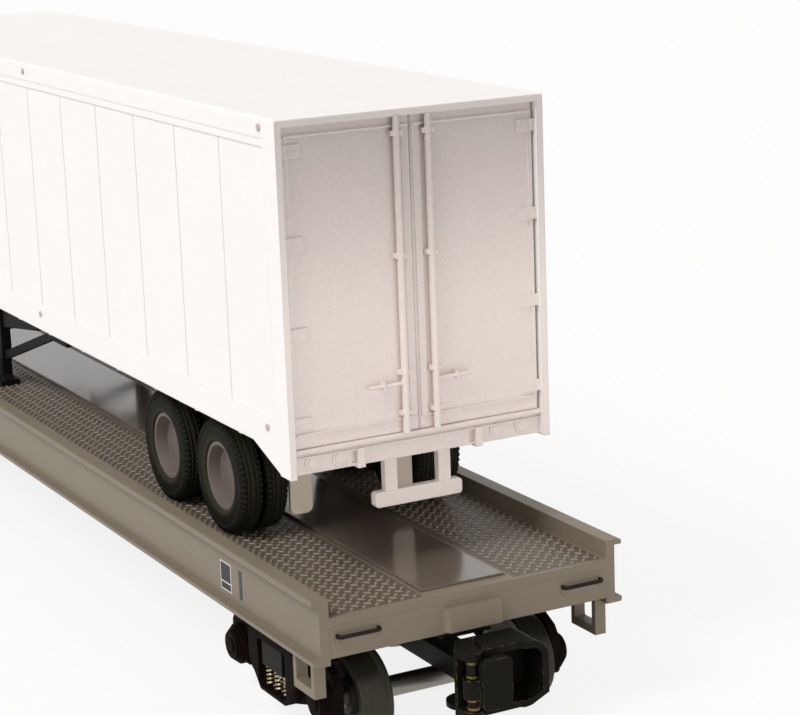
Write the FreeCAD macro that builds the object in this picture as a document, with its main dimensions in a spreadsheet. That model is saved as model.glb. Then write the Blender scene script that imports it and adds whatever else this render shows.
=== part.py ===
import FreeCAD, Part
import math
import os
import Sketcher

# A toy railway flatcar that carries a road van trailer, in millimetres, at its own size.
# The origin is on the floor under the middle of the car. X runs along the car, Z is up.
# End a is the end toward +X, where the trailer has its doors. End b is the other end.

# Driving sizes: the cell's alias, its value and what it measures.
SIZES = [
    ("body_length", 291.3, "flatcar over its end sills"),
    ("body_width", 64.0, "flatcar over its side sill flanges"),
    ("deck_thick", 1.7, "deck plate"),
    ("curb_height", 3.5, "side sill above the deck"),
    ("sill_depth", 12.2, "side sill from top to bottom"),
    ("flange_thick", 1.0, "top and bottom flange of the side sill"),
    ("flange_reach", 1.5, "flange beyond the web"),
    ("flange_round", 0.45, "rounding of the flange's edge"),
    ("web_thick", 1.85, "web of the side sill"),
    ("sill_play", 1.2, "end sill above the coupler head"),
    ("end_sill_thick", 2.4, "end sill along the car"),
    ("striker_half", 6.0, "half width of the striker block"),
    ("striker_draft", 0.65, "striker block narrower at its face"),
    ("striker_play", 1.6, "striker block above the coupler head"),
    ("striker_drop", 1.0, "striker block below the joint of deck and end sill"),
    ("striker_proud", 1.5, "striker block beyond the end sill"),
    ("boss_radius", 0.45, "boss under each leg of a grab iron"),
    ("boss_proud", 0.3, "boss beyond the end sill"),
    ("boss_drop", 0.95, "boss below the grab iron"),
    ("strip_half", 8.45, "half width of the smooth strip on the deck"),
    ("strip_rise", 0.5, "smooth strip above the deck"),
    ("strip_inset", 3.1, "smooth strip short of the deck's end"),
    ("strip_groove", 0.4, "groove beside the smooth strip"),
    ("strip_bevel", 0.2, "bevel of the smooth strip"),
    ("stirrup_length", 8.4, "stirrup step along the car"),
    ("stirrup_drop", 7.1, "stirrup step below the side sill"),
    ("stirrup_bar", 1.2, "bar of the stirrup step"),
    ("stirrup_foot", 1.6, "foot bar of the stirrup step"),
    ("stirrup_play", 0.95, "stirrup step behind the end sill"),
    ("stirrup_wide", 2.3, "stirrup step across the car"),
    ("stirrup_round", 0.4, "rounding inside the stirrup step"),
    ("grab_inner", 9.55, "inner leg of the grab iron from the side sill's web"),
    ("grab_outer", 1.45, "outer leg of the grab iron from the side sill's web"),
    ("grab_drop", 1.8, "grab iron below the joint of deck and end sill"),
    ("grab_reach", 1.5, "grab iron beyond the end sill"),
    ("grab_wire", 0.38, "radius of the grab iron's wire"),
    ("grab_bend", 0.76, "bend of the grab iron's wire"),
    ("spine_half", 5.0, "half width of the centre sill"),
    ("spine_wall", 1.2, "wall of the centre sill"),
    ("spine_depth", 13.7, "centre sill below the deck plate at mid car"),
    ("spine_shallow", 7.8, "centre sill below the deck plate over the trucks"),
    ("spine_flat", 52.0, "half length of the centre sill's low part"),
    ("spine_slope", 22.0, "length of the centre sill's slope"),
    ("bearer_pitch", 26.0, "pitch of the cross bearers"),
    ("bearer_thick", 1.4, "cross bearer along the car"),
    ("bearer_tip", 3.2, "cross bearer's depth at the side sill"),
    ("bearer_root", 12.5, "cross bearer's depth at the centre sill"),
    ("bolster_wide", 12.0, "body bolster along the car"),
    ("bolster_depth", 8.2, "body bolster below the deck plate"),
    ("bolster_rise", 10.8, "deck plate above the body's centre plate"),
    ("truck_inset", 31.4, "truck pivot from the end of the car"),
    ("wheel_base", 36.5, "axle to axle in a truck"),
    ("tread_radius", 8.0, "rail wheel tread"),
    ("rail_flange", 1.2, "rail wheel flange beyond the tread"),
    ("back_half", 14.3, "back of a rail wheel from the centre line"),
    ("wheel_wide", 6.0, "rail wheel across the car"),
    ("axle_radius", 1.95, "rail axle"),
    ("journal_radius", 1.5, "journal of the rail axle"),
    ("journal_reach", 0.7, "journal beyond the side frame's plate"),
    ("bearing_play", 0.06, "play round a journal"),
    ("frame_inner", 22.0, "inner face of a truck side frame"),
    ("frame_thick", 1.8, "plate of a truck side frame"),
    ("frame_rise", 7.8, "top of the side frame above the axle"),
    ("frame_drop", 4.8, "bottom of the side frame below the axle"),
    ("rib_wide", 0.7, "rib along the side frame's edges"),
    ("box_half", 3.9, "half width of the axle box"),
    ("box_drop", 3.6, "axle box below the axle"),
    ("barrel_radius", 4.0, "first step of the bearing barrel"),
    ("barrel_first", 0.9, "first step beyond the side frame's plate"),
    ("barrel_step", 0.42, "each further step narrower"),
    ("barrel_rise", 0.5, "each further step beyond the one before"),
    ("hub_cap", 1.4, "middle of the bearing barrel"),
    ("hub_cap_proud", 0.3, "middle of the bearing barrel beyond its last step"),
    ("window_half", 6.0, "half width of the spring window"),
    ("window_drop", 4.2, "bottom of the spring window below the axle"),
    ("window_rise", 5.4, "top of the spring window above the axle"),
    ("window_round", 0.6, "rounding of the spring window"),
    ("window_bend", 1.5, "rounding of the spring window's lower corners"),
    ("basket_half", 5.4, "half width of the spring basket's bottom"),
    ("basket_proud", 2.2, "spring basket and columns beyond the side frame's plate"),
    ("column_far", 10.1, "far side of a column from the truck's middle"),
    ("column_low", 0.4, "foot of a column above the axle"),
    ("gap_near", 10.6, "opening beside the column, from the truck's middle"),
    ("gap_far", 13.2, "far side of the opening beside the column"),
    ("truck_beam_half", 5.5, "half width of the truck bolster"),
    ("truck_beam_rise", 2.4, "bottom of the truck bolster above the axle"),
    ("beam_end_half", 4.3, "half width of the bolster's end in the window"),
    ("beam_end_low", 0.5, "bottom of the bolster's end above the axle"),
    ("beam_end_high", 5.2, "top of the bolster's end above the axle"),
    ("beam_end_proud", 2.0, "bolster's end beyond the side frame's plate"),
    ("beam_end_rim", 0.6, "rim round the bolster's hollow end"),
    ("beam_end_deep", 1.6, "hollow in the bolster's end"),
    ("coil_radius", 1.0, "coil spring"),
    ("coil_neck", 0.72, "coil spring between its turns"),
    ("coil_pitch", 3.75, "coil spring to coil spring"),
    ("coil_side", 24.4, "coil springs from the centre line"),
    ("plate_radius", 6.0, "centre plate"),
    ("plate_play", 0.4, "play between the truck's and the body's centre plates"),
    ("pivot_radius", 1.6, "pivot screw"),
    ("pivot_play", 0.1, "play round the pivot screw"),
    ("pivot_head", 2.9, "head of the pivot screw"),
    ("pivot_head_thick", 1.4, "thickness of the pivot screw's head"),
    ("pivot_cover", 1.0, "metal above the pivot screw's tip"),
    ("shank_half", 3.0, "half width of the coupler shank"),
    ("shank_low", 3.3, "bottom of the coupler shank above the axle"),
    ("shank_tall", 4.1, "coupler shank"),
    ("head_back", 32.3, "back of the coupler head from the truck pivot"),
    ("head_reach", 40.6, "tip of the guard arm from the truck pivot"),
    ("head_low", -0.4, "bottom of the coupler head above the axle"),
    ("head_tall", 12.4, "coupler head"),
    ("head_plate", 1.25, "walls of the coupler head"),
    ("head_side", 2.2, "near side of the coupler head beyond the pin's centre"),
    ("guard_side", 10.2, "outer side of the guard arm from the centre line"),
    ("head_round", 3.4, "rounding of the guard arm's upper edge"),
    ("slant_from", 5.5, "start of the head's slanted bottom, from the centre line"),
    ("slant_rise", 2.2, "rise of the slanted bottom"),
    ("lip_back", 1.15, "front of the head behind the guard arm's tip"),
    ("lip_from", 4.7, "start of the slope to the guard arm's tip, from the centre line"),
    ("lip_to", 6.5, "end of the slope to the guard arm's tip, from the centre line"),
    ("crease_wide", 0.9, "groove along the top of the head"),
    ("crease_deep", 0.6, "depth of the groove along the top of the head"),
    ("hinge_x", 39.1, "knuckle pin from the truck pivot"),
    ("hinge_y", -4.7, "knuckle pin from the centre line"),
    ("lug_radius", 1.65, "lugs that hold the knuckle pin"),
    ("lug_low", 1.5, "lower lug"),
    ("lug_high", 1.5, "upper lug"),
    ("hub_radius", 1.85, "hub of the knuckle"),
    ("hub_low", 2.4, "hub above the lower lug"),
    ("hub_tall", 3.6, "height of the hub"),
    ("hub_play", 0.08, "play of the hub between the pin's shoulders"),
    ("hub_gap", 0.3, "gap behind the hub"),
    ("pin_radius", 0.9, "knuckle pin"),
    ("pin_shoulder", 1.2, "shoulders of the knuckle pin above and below the hub"),
    ("pin_play", 0.06, "play round the knuckle pin"),
    ("pin_cover", 0.8, "metal above the knuckle pin"),
    ("nose_reach", 3.3, "knuckle's face beyond its pin"),
    ("nose_thick", 1.4, "face of the knuckle"),
    ("nose_end", 1.6, "far edge of the knuckle's face from the centre line"),
    ("nose_start", -4.5, "near edge of the knuckle's face from the centre line"),
    ("nose_low", 1.95, "knuckle's face above the bottom of the head"),
    ("nose_tall", 9.45, "knuckle's face"),
    ("nose_round", 1.2, "rounding of the knuckle's face"),
    ("tail_reach", 1.4, "hook behind the knuckle's face"),
    ("arm_back", 4.5, "uncoupling disc behind the coupler head"),
    ("arm_radius", 0.9, "post of the uncoupling disc"),
    ("disc_radius", 3.6, "uncoupling disc"),
    ("disc_thick", 1.0, "thickness of the uncoupling disc"),
    ("disc_drop", 1.6, "uncoupling disc below the axle"),
    ("van_length", 259.0, "trailer"),
    ("van_width", 54.0, "trailer"),
    ("van_height", 60.25, "side of the trailer from its bottom edge to the roof"),
    ("van_wall", 1.25, "side wall of the trailer"),
    ("van_roof", 1.3, "roof of the trailer"),
    ("van_round", 6.5, "rounding of the trailer's front corners"),
    ("roof_round", 0.6, "rounding along the roof's edge"),
    ("van_header", 1.55, "header above the doors"),
    ("van_floor", 1.1, "floor of the trailer"),
    ("floor_rise", 0.6, "floor above the bottom edge of the sides"),
    ("rail_high", 5.3, "top rail of the trailer's side"),
    ("rail_low", 5.6, "bottom rail of the trailer's side"),
    ("rail_proud", 0.25, "rails beyond the side panels"),
    ("rail_line", 4.1, "groove along the top rail below the roof"),
    ("line_wide", 0.3, "groove along the top rail"),
    ("line_deep", 0.1, "depth of the groove along the top rail"),
    ("panel_end", 5.5, "side panels short of the trailer's rear"),
    ("seam_first", 25.0, "first side seam from the trailer's rear"),
    ("seam_pitch", 20.72, "side seam to side seam"),
    ("seam_wide", 0.3, "side seam"),
    ("seam_deep", 0.08, "depth of a side seam"),
    ("tail_drop", 4.35, "rear corner below the side's bottom edge"),
    ("tail_length", 4.4, "flat bottom of the rear corner"),
    ("tail_slope", 11.25, "slope ahead of the rear corner"),
    ("tail_step", 0.3, "step at the foot of the slope"),
    ("cross_wide", 1.2, "cross member under the trailer's floor"),
    ("cross_deep", 1.6, "depth of a cross member"),
    ("chassis_deep", 3.4, "chassis rail under the trailer's floor"),
    ("chassis_inner", 6.2, "chassis rail from the centre line"),
    ("chassis_wide", 2.0, "chassis rail"),
    ("chassis_front", 99.5, "front end of the chassis rails from the trailer's rear"),
    ("marker_radius", 0.65, "marker lamp"),
    ("marker_proud", 0.25, "marker lamp beyond the rail"),
    ("marker_high", 1.9, "upper marker lamps below the roof"),
    ("marker_low", 3.75, "lower marker lamps above the bottom edge"),
    ("marker_end", 6.4, "upper marker lamps from the trailer's rear"),
    ("marker_foot", 8.9, "lower marker lamps from the trailer's rear"),
    ("door_recess", 1.4, "doors inside the rear frame"),
    ("door_thick", 1.5, "door"),
    ("door_rise", 0.85, "bottom of the doors above the sides' bottom edge"),
    ("door_slot", 0.15, "slot between header and doors"),
    ("door_play", 0.3, "gap between the doors"),
    ("door_side", 0.5, "gap between a door and the rear frame"),
    ("mould_tall", 0.35, "moulding across a door"),
    ("mould_proud", 0.4, "moulding beyond the door"),
    ("mould_foot", 2.42, "lower moulding above the bottom of the door"),
    ("mould_head", 1.43, "upper moulding below the top of the door"),
    ("edge_rib", 1.45, "rib down the inner edge of a door"),
    ("edge_proud", 0.25, "rib beyond the door"),
    ("edge_inset", 0.3, "rib from the door's inner edge"),
    ("side_rib", 0.9, "rib down the outer edge of a door"),
    ("side_proud", 0.12, "outer rib beyond the door"),
    ("hinge_plate", 2.8, "hinge plate across the door"),
    ("hinge_tall", 2.3, "hinge plate"),
    ("hinge_proud", 0.35, "hinge plate beyond the door"),
    ("strap_tall", 2.2, "strap from the hinge plate to the frame"),
    ("strap_proud", 0.6, "strap beyond the door"),
    ("hinge_high", 3.0, "upper hinge below the top of the door"),
    ("hinge_foot", 3.4, "lower hinge above the bottom of the door"),
    ("rod_radius", 0.68, "lock rod"),
    ("rod_side", 3.2, "lock rod from the centre line"),
    ("guide_half", 1.1, "half width of a lock rod's guide"),
    ("guide_tall", 0.9, "guide of a lock rod"),
    ("guide_proud", 1.45, "guide beyond the door"),
    ("grip_radius", 0.35, "handle of a lock rod"),
    ("grip_long", 7.3, "handle of a lock rod across the door"),
    ("grip_rise", 9.3, "handle above the bottom of the door"),
    ("grip_keeper", 4.4, "keeper of the handle from the rod"),
    ("keeper_wide", 0.5, "keeper of the handle"),
    ("keeper_tall", 1.5, "height of the handle's keeper"),
    ("sill_top", 0.75, "top of the rear sill above the sides' bottom edge"),
    ("sill_low", 4.05, "bottom of the rear sill below the sides' bottom edge"),
    ("sill_thick", 2.0, "rear sill along the trailer"),
    ("sill_recess", 1.7, "rear sill inside the rear frame"),
    ("ledge_tall", 0.8, "ledge along the rear sill"),
    ("ledge_proud", 0.9, "ledge beyond the rear sill"),
    ("second_drop", 1.5, "second ledge below the first"),
    ("second_proud", 0.4, "second ledge beyond the rear sill"),
    ("bracket_side", 12.3, "bracket on the rear sill from the centre line"),
    ("bracket_wide", 1.5, "bracket on the rear sill"),
    ("bracket_proud", 0.7, "bracket beyond the rear sill"),
    ("bracket_drop", 0.4, "bracket below the rear sill"),
    ("slit_wide", 0.9, "slit beside a bracket of the rear sill"),
    ("slit_deep", 0.5, "depth of a slit in the rear sill"),
    ("slit_rise", 0.5, "slit above the bottom of the rear sill"),
    ("lamp_radius", 1.55, "tail lamp"),
    ("lamp_lens", 1.0, "lens of the tail lamp"),
    ("lamp_proud", 0.2, "tail lamp beyond the rear sill"),
    ("lens_proud", 0.1, "lens beyond the lamp's ring"),
    ("lamp_rise", 1.9, "tail lamp above the bottom of the rear sill"),
    ("lamp_inner", 16.4, "inner tail lamp from the centre line"),
    ("lamp_outer", 21.9, "outer tail lamp from the centre line"),
    ("bumper_inset", 2.4, "bumper face short of the trailer's rear"),
    ("bumper_half", 9.1, "half width of the bumper bar"),
    ("bumper_drop", 13.15, "bumper bar below the sides' bottom edge"),
    ("bumper_tall", 2.9, "bumper bar"),
    ("bumper_thick", 1.8, "bumper bar along the trailer"),
    ("bumper_round", 0.7, "rounding of the bumper bar's ends"),
    ("bumper_post", 5.6, "bumper post from the centre line"),
    ("post_wide", 2.5, "bumper post"),
    ("post_recess", 0.2, "bumper post behind the bar's face"),
    ("tyre_radius", 11.45, "trailer tyre"),
    ("tyre_play", 0.1, "gap between a tyre and the deck"),
    ("tyre_gap", 1.95, "gap between a tyre and the trailer's side"),
    ("tyre_wide", 4.7, "trailer tyre across the trailer"),
    ("tyre_shoulder", 1.2, "shoulder of a trailer tyre"),
    ("dual_half", 24.0, "outer side of the outer tyre"),
    ("dual_inner", 14.0, "inner side of the inner tyre"),
    ("dual_groove", 1.9, "depth of the groove between twin tyres"),
    ("rim_radius", 6.8, "rim inside the tyre"),
    ("rim_lip", 0.7, "lip round the rim"),
    ("rim_dish", 2.2, "depth of the rim's dish"),
    ("rim_inset", 0.6, "rim inside the tyre's outer side"),
    ("rim_disc", 0.8, "disc that closes the rim"),
    ("rear_axle", 40.1, "rear trailer axle from the trailer's rear"),
    ("axle_pitch", 27.0, "trailer axle to trailer axle"),
    ("bar_radius", 1.5, "trailer axle"),
    ("bar_play", 0.06, "play round the trailer axle"),
    ("bar_inset", 3.7, "trailer axle's end inside the outer tyre"),
    ("hanger_inner", 9.6, "inner face of the suspension's side plate"),
    ("hanger_thick", 2.0, "suspension's side plate"),
    ("hanger_half", 2.0, "half width of a hanger below the trailer axle"),
    ("hanger_drop", 3.85, "hanger below the trailer axle"),
    ("hanger_top", 7.0, "hanger's reach along the floor from the trailer axle"),
    ("hanger_arch", 3.0, "arch between the hangers above the trailer axle"),
    ("tie_wide", 3.0, "tie between the suspension's side plates"),
    ("tie_tall", 2.0, "height of a tie between the side plates"),
    ("flap_inset", 30.2, "mud flap from the trailer's rear"),
    ("flap_inner", 8.7, "inner edge of the mud flap"),
    ("flap_outer", 13.4, "outer edge of the mud flap"),
    ("flap_long", 21.4, "mud flap below the floor"),
    ("flap_thick", 0.8, "mud flap"),
    ("flap_round", 1.3, "rounding of the mud flap's lower corners"),
    ("leg_rear", 183.5, "landing gear leg's rear face from the trailer's rear"),
    ("leg_long", 4.2, "landing gear leg along the trailer"),
    ("leg_side", 16.8, "inner face of the landing gear leg"),
    ("leg_thick", 2.5, "landing gear leg across the trailer"),
    ("foot_taper", 0.7, "lower leg narrower than the upper leg"),
    ("foot_tall", 7.0, "lower leg above the deck"),
    ("shoe_spread", 1.1, "landing gear shoe beyond the leg"),
    ("shoe_thick", 1.5, "landing gear shoe"),
    ("brace_low", 6.6, "rear brace above the deck at the leg"),
    ("brace_thick", 2.2, "brace of the landing gear"),
    ("brace_run", 36.0, "rear brace along the trailer"),
    ("brace_drop", 7.4, "rear bracket below the trailer's floor"),
    ("bracket_long", 10.0, "rear bracket along the trailer"),
    ("gusset_run", 26.0, "gusset behind the leg along the floor"),
    ("gusset_deep", 10.6, "gusset below the floor at the leg"),
    ("gusset_tip", 7.0, "gusset below the floor at its end"),
    ("fore_run", 32.0, "forward brace along the trailer"),
    ("fore_tip", 8.5, "forward brace below the floor at its end"),
    ("brace_wide", 1.2, "brace across the trailer"),
    ("leg_tie", 14.0, "tie between the legs above the deck"),
    ("king_inset", 21.5, "kingpin from the trailer's front"),
    ("king_plate_half", 12.0, "half length of the kingpin's plate"),
    ("king_plate_wide", 14.0, "half width of the kingpin's plate"),
    ("king_plate_thick", 1.0, "kingpin's plate"),
    ("king_radius", 1.2, "kingpin"),
    ("king_drop", 4.2, "kingpin below its plate"),
    ("brake_x", 7.0, "brake cylinder from the middle of the car"),
    ("tank_long", 14.0, "air tank along the car"),
    ("cylinder_long", 12.0, "brake cylinder along the car"),
    ("brake_side", 13.0, "brake cylinder from the centre line"),
    ("brake_radius", 3.0, "brake cylinder"),
    ("brake_drop", 4.0, "brake cylinder below the deck plate"),
    ("strap_wide", 2.0, "strap that carries the brake cylinder"),
    ("strap_inset", 3.0, "strap from the cylinder's end"),
]

TRUCK_ENDS = {"a": 1, "b": -1}
SIDES = {"left": 1, "right": -1}
BEARER_COUNT = 5
SEAM_COUNT = 11
HINGE_COUNT = 4
GUIDE_SHARES = (0.06, 0.19, 0.56, 0.94)
COIL_TURNS = 5
BARREL_STEPS = 4
CROSS_COUNT = 12
HALF_DIAGONAL = math.sqrt(0.5)

doc = FreeCAD.newDocument("Flatcar")
sheet = doc.addObject("Spreadsheet::Sheet", "sizes")
nodes = []


class Size:
    """A length with its value and the sheet expression that gives it."""

    def __init__(self, value, text):
        self.value = value
        self.text = text

    def __add__(self, other):
        return combine(self, "+", other)

    def __radd__(self, other):
        return combine(other, "+", self)

    def __sub__(self, other):
        return combine(self, "-", other)

    def __rsub__(self, other):
        return combine(other, "-", self)

    def __mul__(self, other):
        return combine(self, "*", other)

    def __rmul__(self, other):
        return combine(other, "*", self)

    def __truediv__(self, other):
        return combine(self, "/", other)

    def __neg__(self):
        return combine(-1.0, "*", self)


def as_size(length):
    """Wrap a plain number, so that every length is a Size."""
    return length if isinstance(length, Size) else Size(float(length), "(%.6f)" % length)


def combine(left, sign, right):
    """Work out one arithmetic step as a value and as an expression."""
    left, right = as_size(left), as_size(right)
    results = {
        "+": lambda: left.value + right.value,
        "-": lambda: left.value - right.value,
        "*": lambda: left.value * right.value,
        "/": lambda: left.value / right.value,
    }
    return Size(results[sign](), "(%s %s %s)" % (left.text, sign, right.text))


class Sheet:
    """Gives each driving size as an attribute."""


def fill_sheet():
    """Write the driving sizes to the sheet and return them as Size attributes."""
    driving = Sheet()
    for row, (alias, value, meaning) in enumerate(SIZES, start=1):
        sheet.set("A%d" % row, str(value))
        sheet.setAlias("A%d" % row, alias)
        sheet.set("B%d" % row, meaning)
        setattr(driving, alias, Size(float(value), "sizes." + alias))
    doc.recompute()
    return driving


d = fill_sheet()

# Heights of the trucks and couplers, from the wheels upward.
AXLE_Z = d.tread_radius + d.rail_flange
FRAME_OUTER = d.frame_inner + d.frame_thick
TRUCK_TOP = AXLE_Z + d.frame_rise
TRUCK_LOW = AXLE_Z + d.truck_beam_rise
WINDOW_LOW = AXLE_Z - d.window_drop
WINDOW_HIGH = AXLE_Z + d.window_rise
BEAM_END_LOW = AXLE_Z + d.beam_end_low
BEAM_END_HIGH = AXLE_Z + d.beam_end_high
SHANK_LOW = AXLE_Z + d.shank_low
HEAD_LOW = AXLE_Z + d.head_low
HEAD_HIGH = HEAD_LOW + d.head_tall
LUG_LOW = HEAD_LOW + d.lug_low
LUG_HIGH = HEAD_HIGH - d.lug_high
NOSE_LOW = HEAD_LOW + d.nose_low
HUB_LOW = LUG_LOW + d.hub_low
HUB_HIGH = HUB_LOW + d.hub_tall

# The flatcar's body stands on the trucks.
HALF_LENGTH = d.body_length / 2
HALF_WIDTH = d.body_width / 2
WEB_OUTER = HALF_WIDTH - d.flange_reach
WEB_INNER = WEB_OUTER - d.web_thick
DECK_UNDER = TRUCK_TOP + d.plate_play + d.bolster_rise
DECK = DECK_UNDER + d.deck_thick
SILL_TOP = DECK + d.curb_height
SILL_BOTTOM = SILL_TOP - d.sill_depth
TRUCK_X = HALF_LENGTH - d.truck_inset
GRAB_Z = DECK_UNDER - d.grab_drop
GRAB_INNER = WEB_INNER - d.grab_inner
GRAB_OUTER = WEB_INNER - d.grab_outer

# The trailer stands on the deck.
TYRE_Z = DECK + d.tyre_play + d.tyre_radius
VAN_BOTTOM = TYRE_Z + d.tyre_radius + d.tyre_gap
VAN_TOP = VAN_BOTTOM + d.van_height
VAN_REAR = d.van_length / 2
VAN_HALF = d.van_width / 2
VAN_INNER = VAN_HALF - d.van_wall
VAN_UNDER = VAN_BOTTOM + d.floor_rise
DOOR_LOW = VAN_BOTTOM + d.door_rise
DOOR_HIGH = VAN_TOP - d.van_header - d.door_slot
DOOR_FACE = VAN_REAR - d.door_recess
SILL_FACE = VAN_REAR - d.sill_recess
REAR_SILL_TOP = VAN_BOTTOM + d.sill_top
REAR_SILL_LOW = VAN_BOTTOM - d.sill_low


def number(length):
    """Return the plain value of a Size or number."""
    return as_size(length).value


def point(x, y, z):
    """Return a point for plain Part geometry."""
    return FreeCAD.Vector(x, y, z)


def bind(thing, path, length):
    """Tie one property of an object to the sheet."""
    thing.setExpression(path, as_size(length).text)


def new_body(label):
    """Start a sub-part as a body of its own."""
    body = doc.addObject("PartDesign::Body", label)
    body.Label = label
    return body


def new_sketch(body, role, offset=0.0):
    """Lay a sketch on one of the body's own planes, moved along the plane's normal."""
    plane = [item for item in body.Origin.OriginFeatures if item.Role == role][0]
    sketch = body.newObject("Sketcher::SketchObject", body.Name + "_sketch")
    sketch.AttachmentSupport = [(plane, "")]
    sketch.MapMode = "FlatFace"
    bind(sketch, "AttachmentOffset.Base.z", offset)
    return sketch


def hold(sketch, rule, length):
    """Add a constraint to a sketch and tie it to the sheet."""
    index = sketch.addConstraint(rule)
    sketch.setExpression("Constraints[%d]" % index, as_size(length).text)


def step_towards(corner, other, length):
    """Move from a corner towards a neighbour that lies level with it or straight above or below."""
    across = number(other[0]) - number(corner[0])
    along = number(other[1]) - number(corner[1])
    if abs(across) > abs(along):
        return corner[0] + as_size(length) * math.copysign(1, across), corner[1]
    return corner[0], corner[1] + as_size(length) * math.copysign(1, along)


def trace(points):
    """Turn corners into stops. A corner's third value is its radius, and two stops make its arc."""
    stops = []
    for index, corner in enumerate(points):
        if len(corner) == 2:
            stops.append((corner, None))
            continue
        following = points[(index + 1) % len(points)]
        enter = step_towards(corner, points[index - 1], corner[2])
        leave = step_towards(corner, following, corner[2])
        stops.append((enter, (corner, leave)))
        stops.append((leave, None))
    return stops


def draw_arc(sketch, enter, corner, leave):
    """Draw the quarter circle that rounds a corner, and say which of its ends comes first."""
    first, second = plain(enter), plain(leave)
    centre = first + second - plain(corner)
    middle = centre + (plain(corner) - centre) * HALF_DIAGONAL
    index = sketch.addGeometry(Part.Arc(first, middle, second), False)
    return index, (1, 2) if sketch.getPoint(index, 1).distanceToPoint(first) < 1e-6 else (2, 1)


def plain(corner):
    """Return a corner of an outline as a plain point."""
    return FreeCAD.Vector(number(corner[0]), number(corner[1]), 0)


def add_loop(sketch, points):
    """Draw a closed outline whose corners and roundings are tied to the sheet."""
    stops = trace(points)
    pieces = []
    for index, (start, rounding) in enumerate(stops):
        if rounding:
            corner, leave = rounding
            pieces.append(draw_arc(sketch, start, corner, leave))
            hold(sketch, Sketcher.Constraint("Radius", pieces[-1][0], number(corner[2])), corner[2])
        else:
            end = stops[(index + 1) % len(stops)][0]
            line = Part.LineSegment(plain(start), plain(end))
            pieces.append((sketch.addGeometry(line, False), (1, 2)))
    for index, (piece, ends) in enumerate(pieces):
        following, next_ends = pieces[(index + 1) % len(pieces)]
        sketch.addConstraint(Sketcher.Constraint("Coincident", piece, ends[1], following, next_ends[0]))
        u, v = stops[index][0]
        hold(sketch, Sketcher.Constraint("DistanceX", -1, 1, piece, ends[0], number(u)), u)
        hold(sketch, Sketcher.Constraint("DistanceY", -1, 1, piece, ends[0], number(v)), v)


def add_circle(sketch, u, v, radius):
    """Draw a circle whose centre and radius are tied to the sheet."""
    circle = Part.Circle(plain((u, v)), FreeCAD.Vector(0, 0, 1), number(radius))
    index = sketch.addGeometry(circle, False)
    hold(sketch, Sketcher.Constraint("DistanceX", -1, 1, index, 3, number(u)), u)
    hold(sketch, Sketcher.Constraint("DistanceY", -1, 1, index, 3, number(v)), v)
    hold(sketch, Sketcher.Constraint("Radius", index, number(radius)), radius)


def rectangle(u_low, u_high, v_low, v_high):
    """Return the corners of a rectangle."""
    return [(u_low, v_low), (u_high, v_low), (u_high, v_high), (u_low, v_high)]


def rounded(u_low, u_high, v_low, v_high, radius):
    """Return the corners of a rectangle with all four rounded."""
    return [corner + (radius,) for corner in rectangle(u_low, u_high, v_low, v_high)]


def both_halves(half):
    """Close a half outline, given upward, with its mirror image across u = 0."""
    return half + [(-as_size(corner[0]),) + tuple(corner[1:]) for corner in reversed(half)]


def grow(body, kind, sketch, length, both_ways, reverse):
    """Raise or cut a sketch."""
    feature = body.newObject("PartDesign::" + kind, body.Name + "_" + kind.lower())
    feature.Profile = sketch
    feature.SideType = "Symmetric" if both_ways else "One side"
    feature.Reversed = reverse
    bind(feature, "Length", length)
    return feature


def pad(body, sketch, length, both_ways=False, reverse=False):
    """Raise a sketch into a solid, along the plane's normal unless reversed."""
    return grow(body, "Pad", sketch, length, both_ways, reverse)


def pocket(body, sketch, length, both_ways=False, reverse=False):
    """Cut a sketch out of the body, against the plane's normal unless reversed."""
    return grow(body, "Pocket", sketch, length, both_ways, reverse)


def slab(body, role, offset, points, length, reverse=False, both_ways=False):
    """Raise one closed outline."""
    sketch = new_sketch(body, role, offset)
    add_loop(sketch, points)
    return pad(body, sketch, length, both_ways, reverse)


def carve(body, role, offset, points, length, reverse=False, both_ways=False):
    """Cut one closed outline."""
    sketch = new_sketch(body, role, offset)
    add_loop(sketch, points)
    return pocket(body, sketch, length, both_ways, reverse)


def repeat(body, feature, sketch, axis, length, count):
    """Repeat a feature in a row along one of its sketch's axes."""
    row = body.newObject("PartDesign::LinearPattern", body.Name + "_row")
    row.Originals = [feature]
    row.Direction = (sketch, [axis])
    row.Occurrences = count
    bind(row, "Length", length)
    body.Tip = row
    return row


def revolve(body, points, axis="H_Axis"):
    """Turn an outline on the plane across the car round one of its sketch's axes."""
    sketch = new_sketch(body, "YZ_Plane")
    add_loop(sketch, points)
    feature = body.newObject("PartDesign::Revolution", body.Name + "_turn")
    feature.Profile = sketch
    feature.ReferenceAxis = (sketch, [axis])
    feature.Angle = 360.0
    return feature


def block(label, x_low, x_high, y_low, y_high, z_low, z_high):
    """Make a box from its six faces."""
    box = doc.addObject("Part::Box", label)
    bind(box, "Length", as_size(x_high) - x_low)
    bind(box, "Width", as_size(y_high) - y_low)
    bind(box, "Height", as_size(z_high) - z_low)
    bind(box, "Placement.Base.x", x_low)
    bind(box, "Placement.Base.y", y_low)
    bind(box, "Placement.Base.z", z_low)
    return box


TURNS = {
    "x": FreeCAD.Rotation(FreeCAD.Vector(0, 1, 0), 90),
    "y": FreeCAD.Rotation(FreeCAD.Vector(1, 0, 0), -90),
    "z": FreeCAD.Rotation(),
}


def rod(label, axis, start, radius, length):
    """Make a round bar along an axis from its start point."""
    bar = doc.addObject("Part::Cylinder", label)
    bar.Placement.Rotation = TURNS[axis]
    bind(bar, "Radius", radius)
    bind(bar, "Height", length)
    for letter, where in zip("xyz", start):
        bind(bar, "Placement.Base." + letter, where)
    return bar


def fuse(label, pieces):
    """Join pieces into one solid."""
    joined = doc.addObject("Part::MultiFuse", label)
    joined.Shapes = pieces
    joined.Refine = True
    return joined


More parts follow.
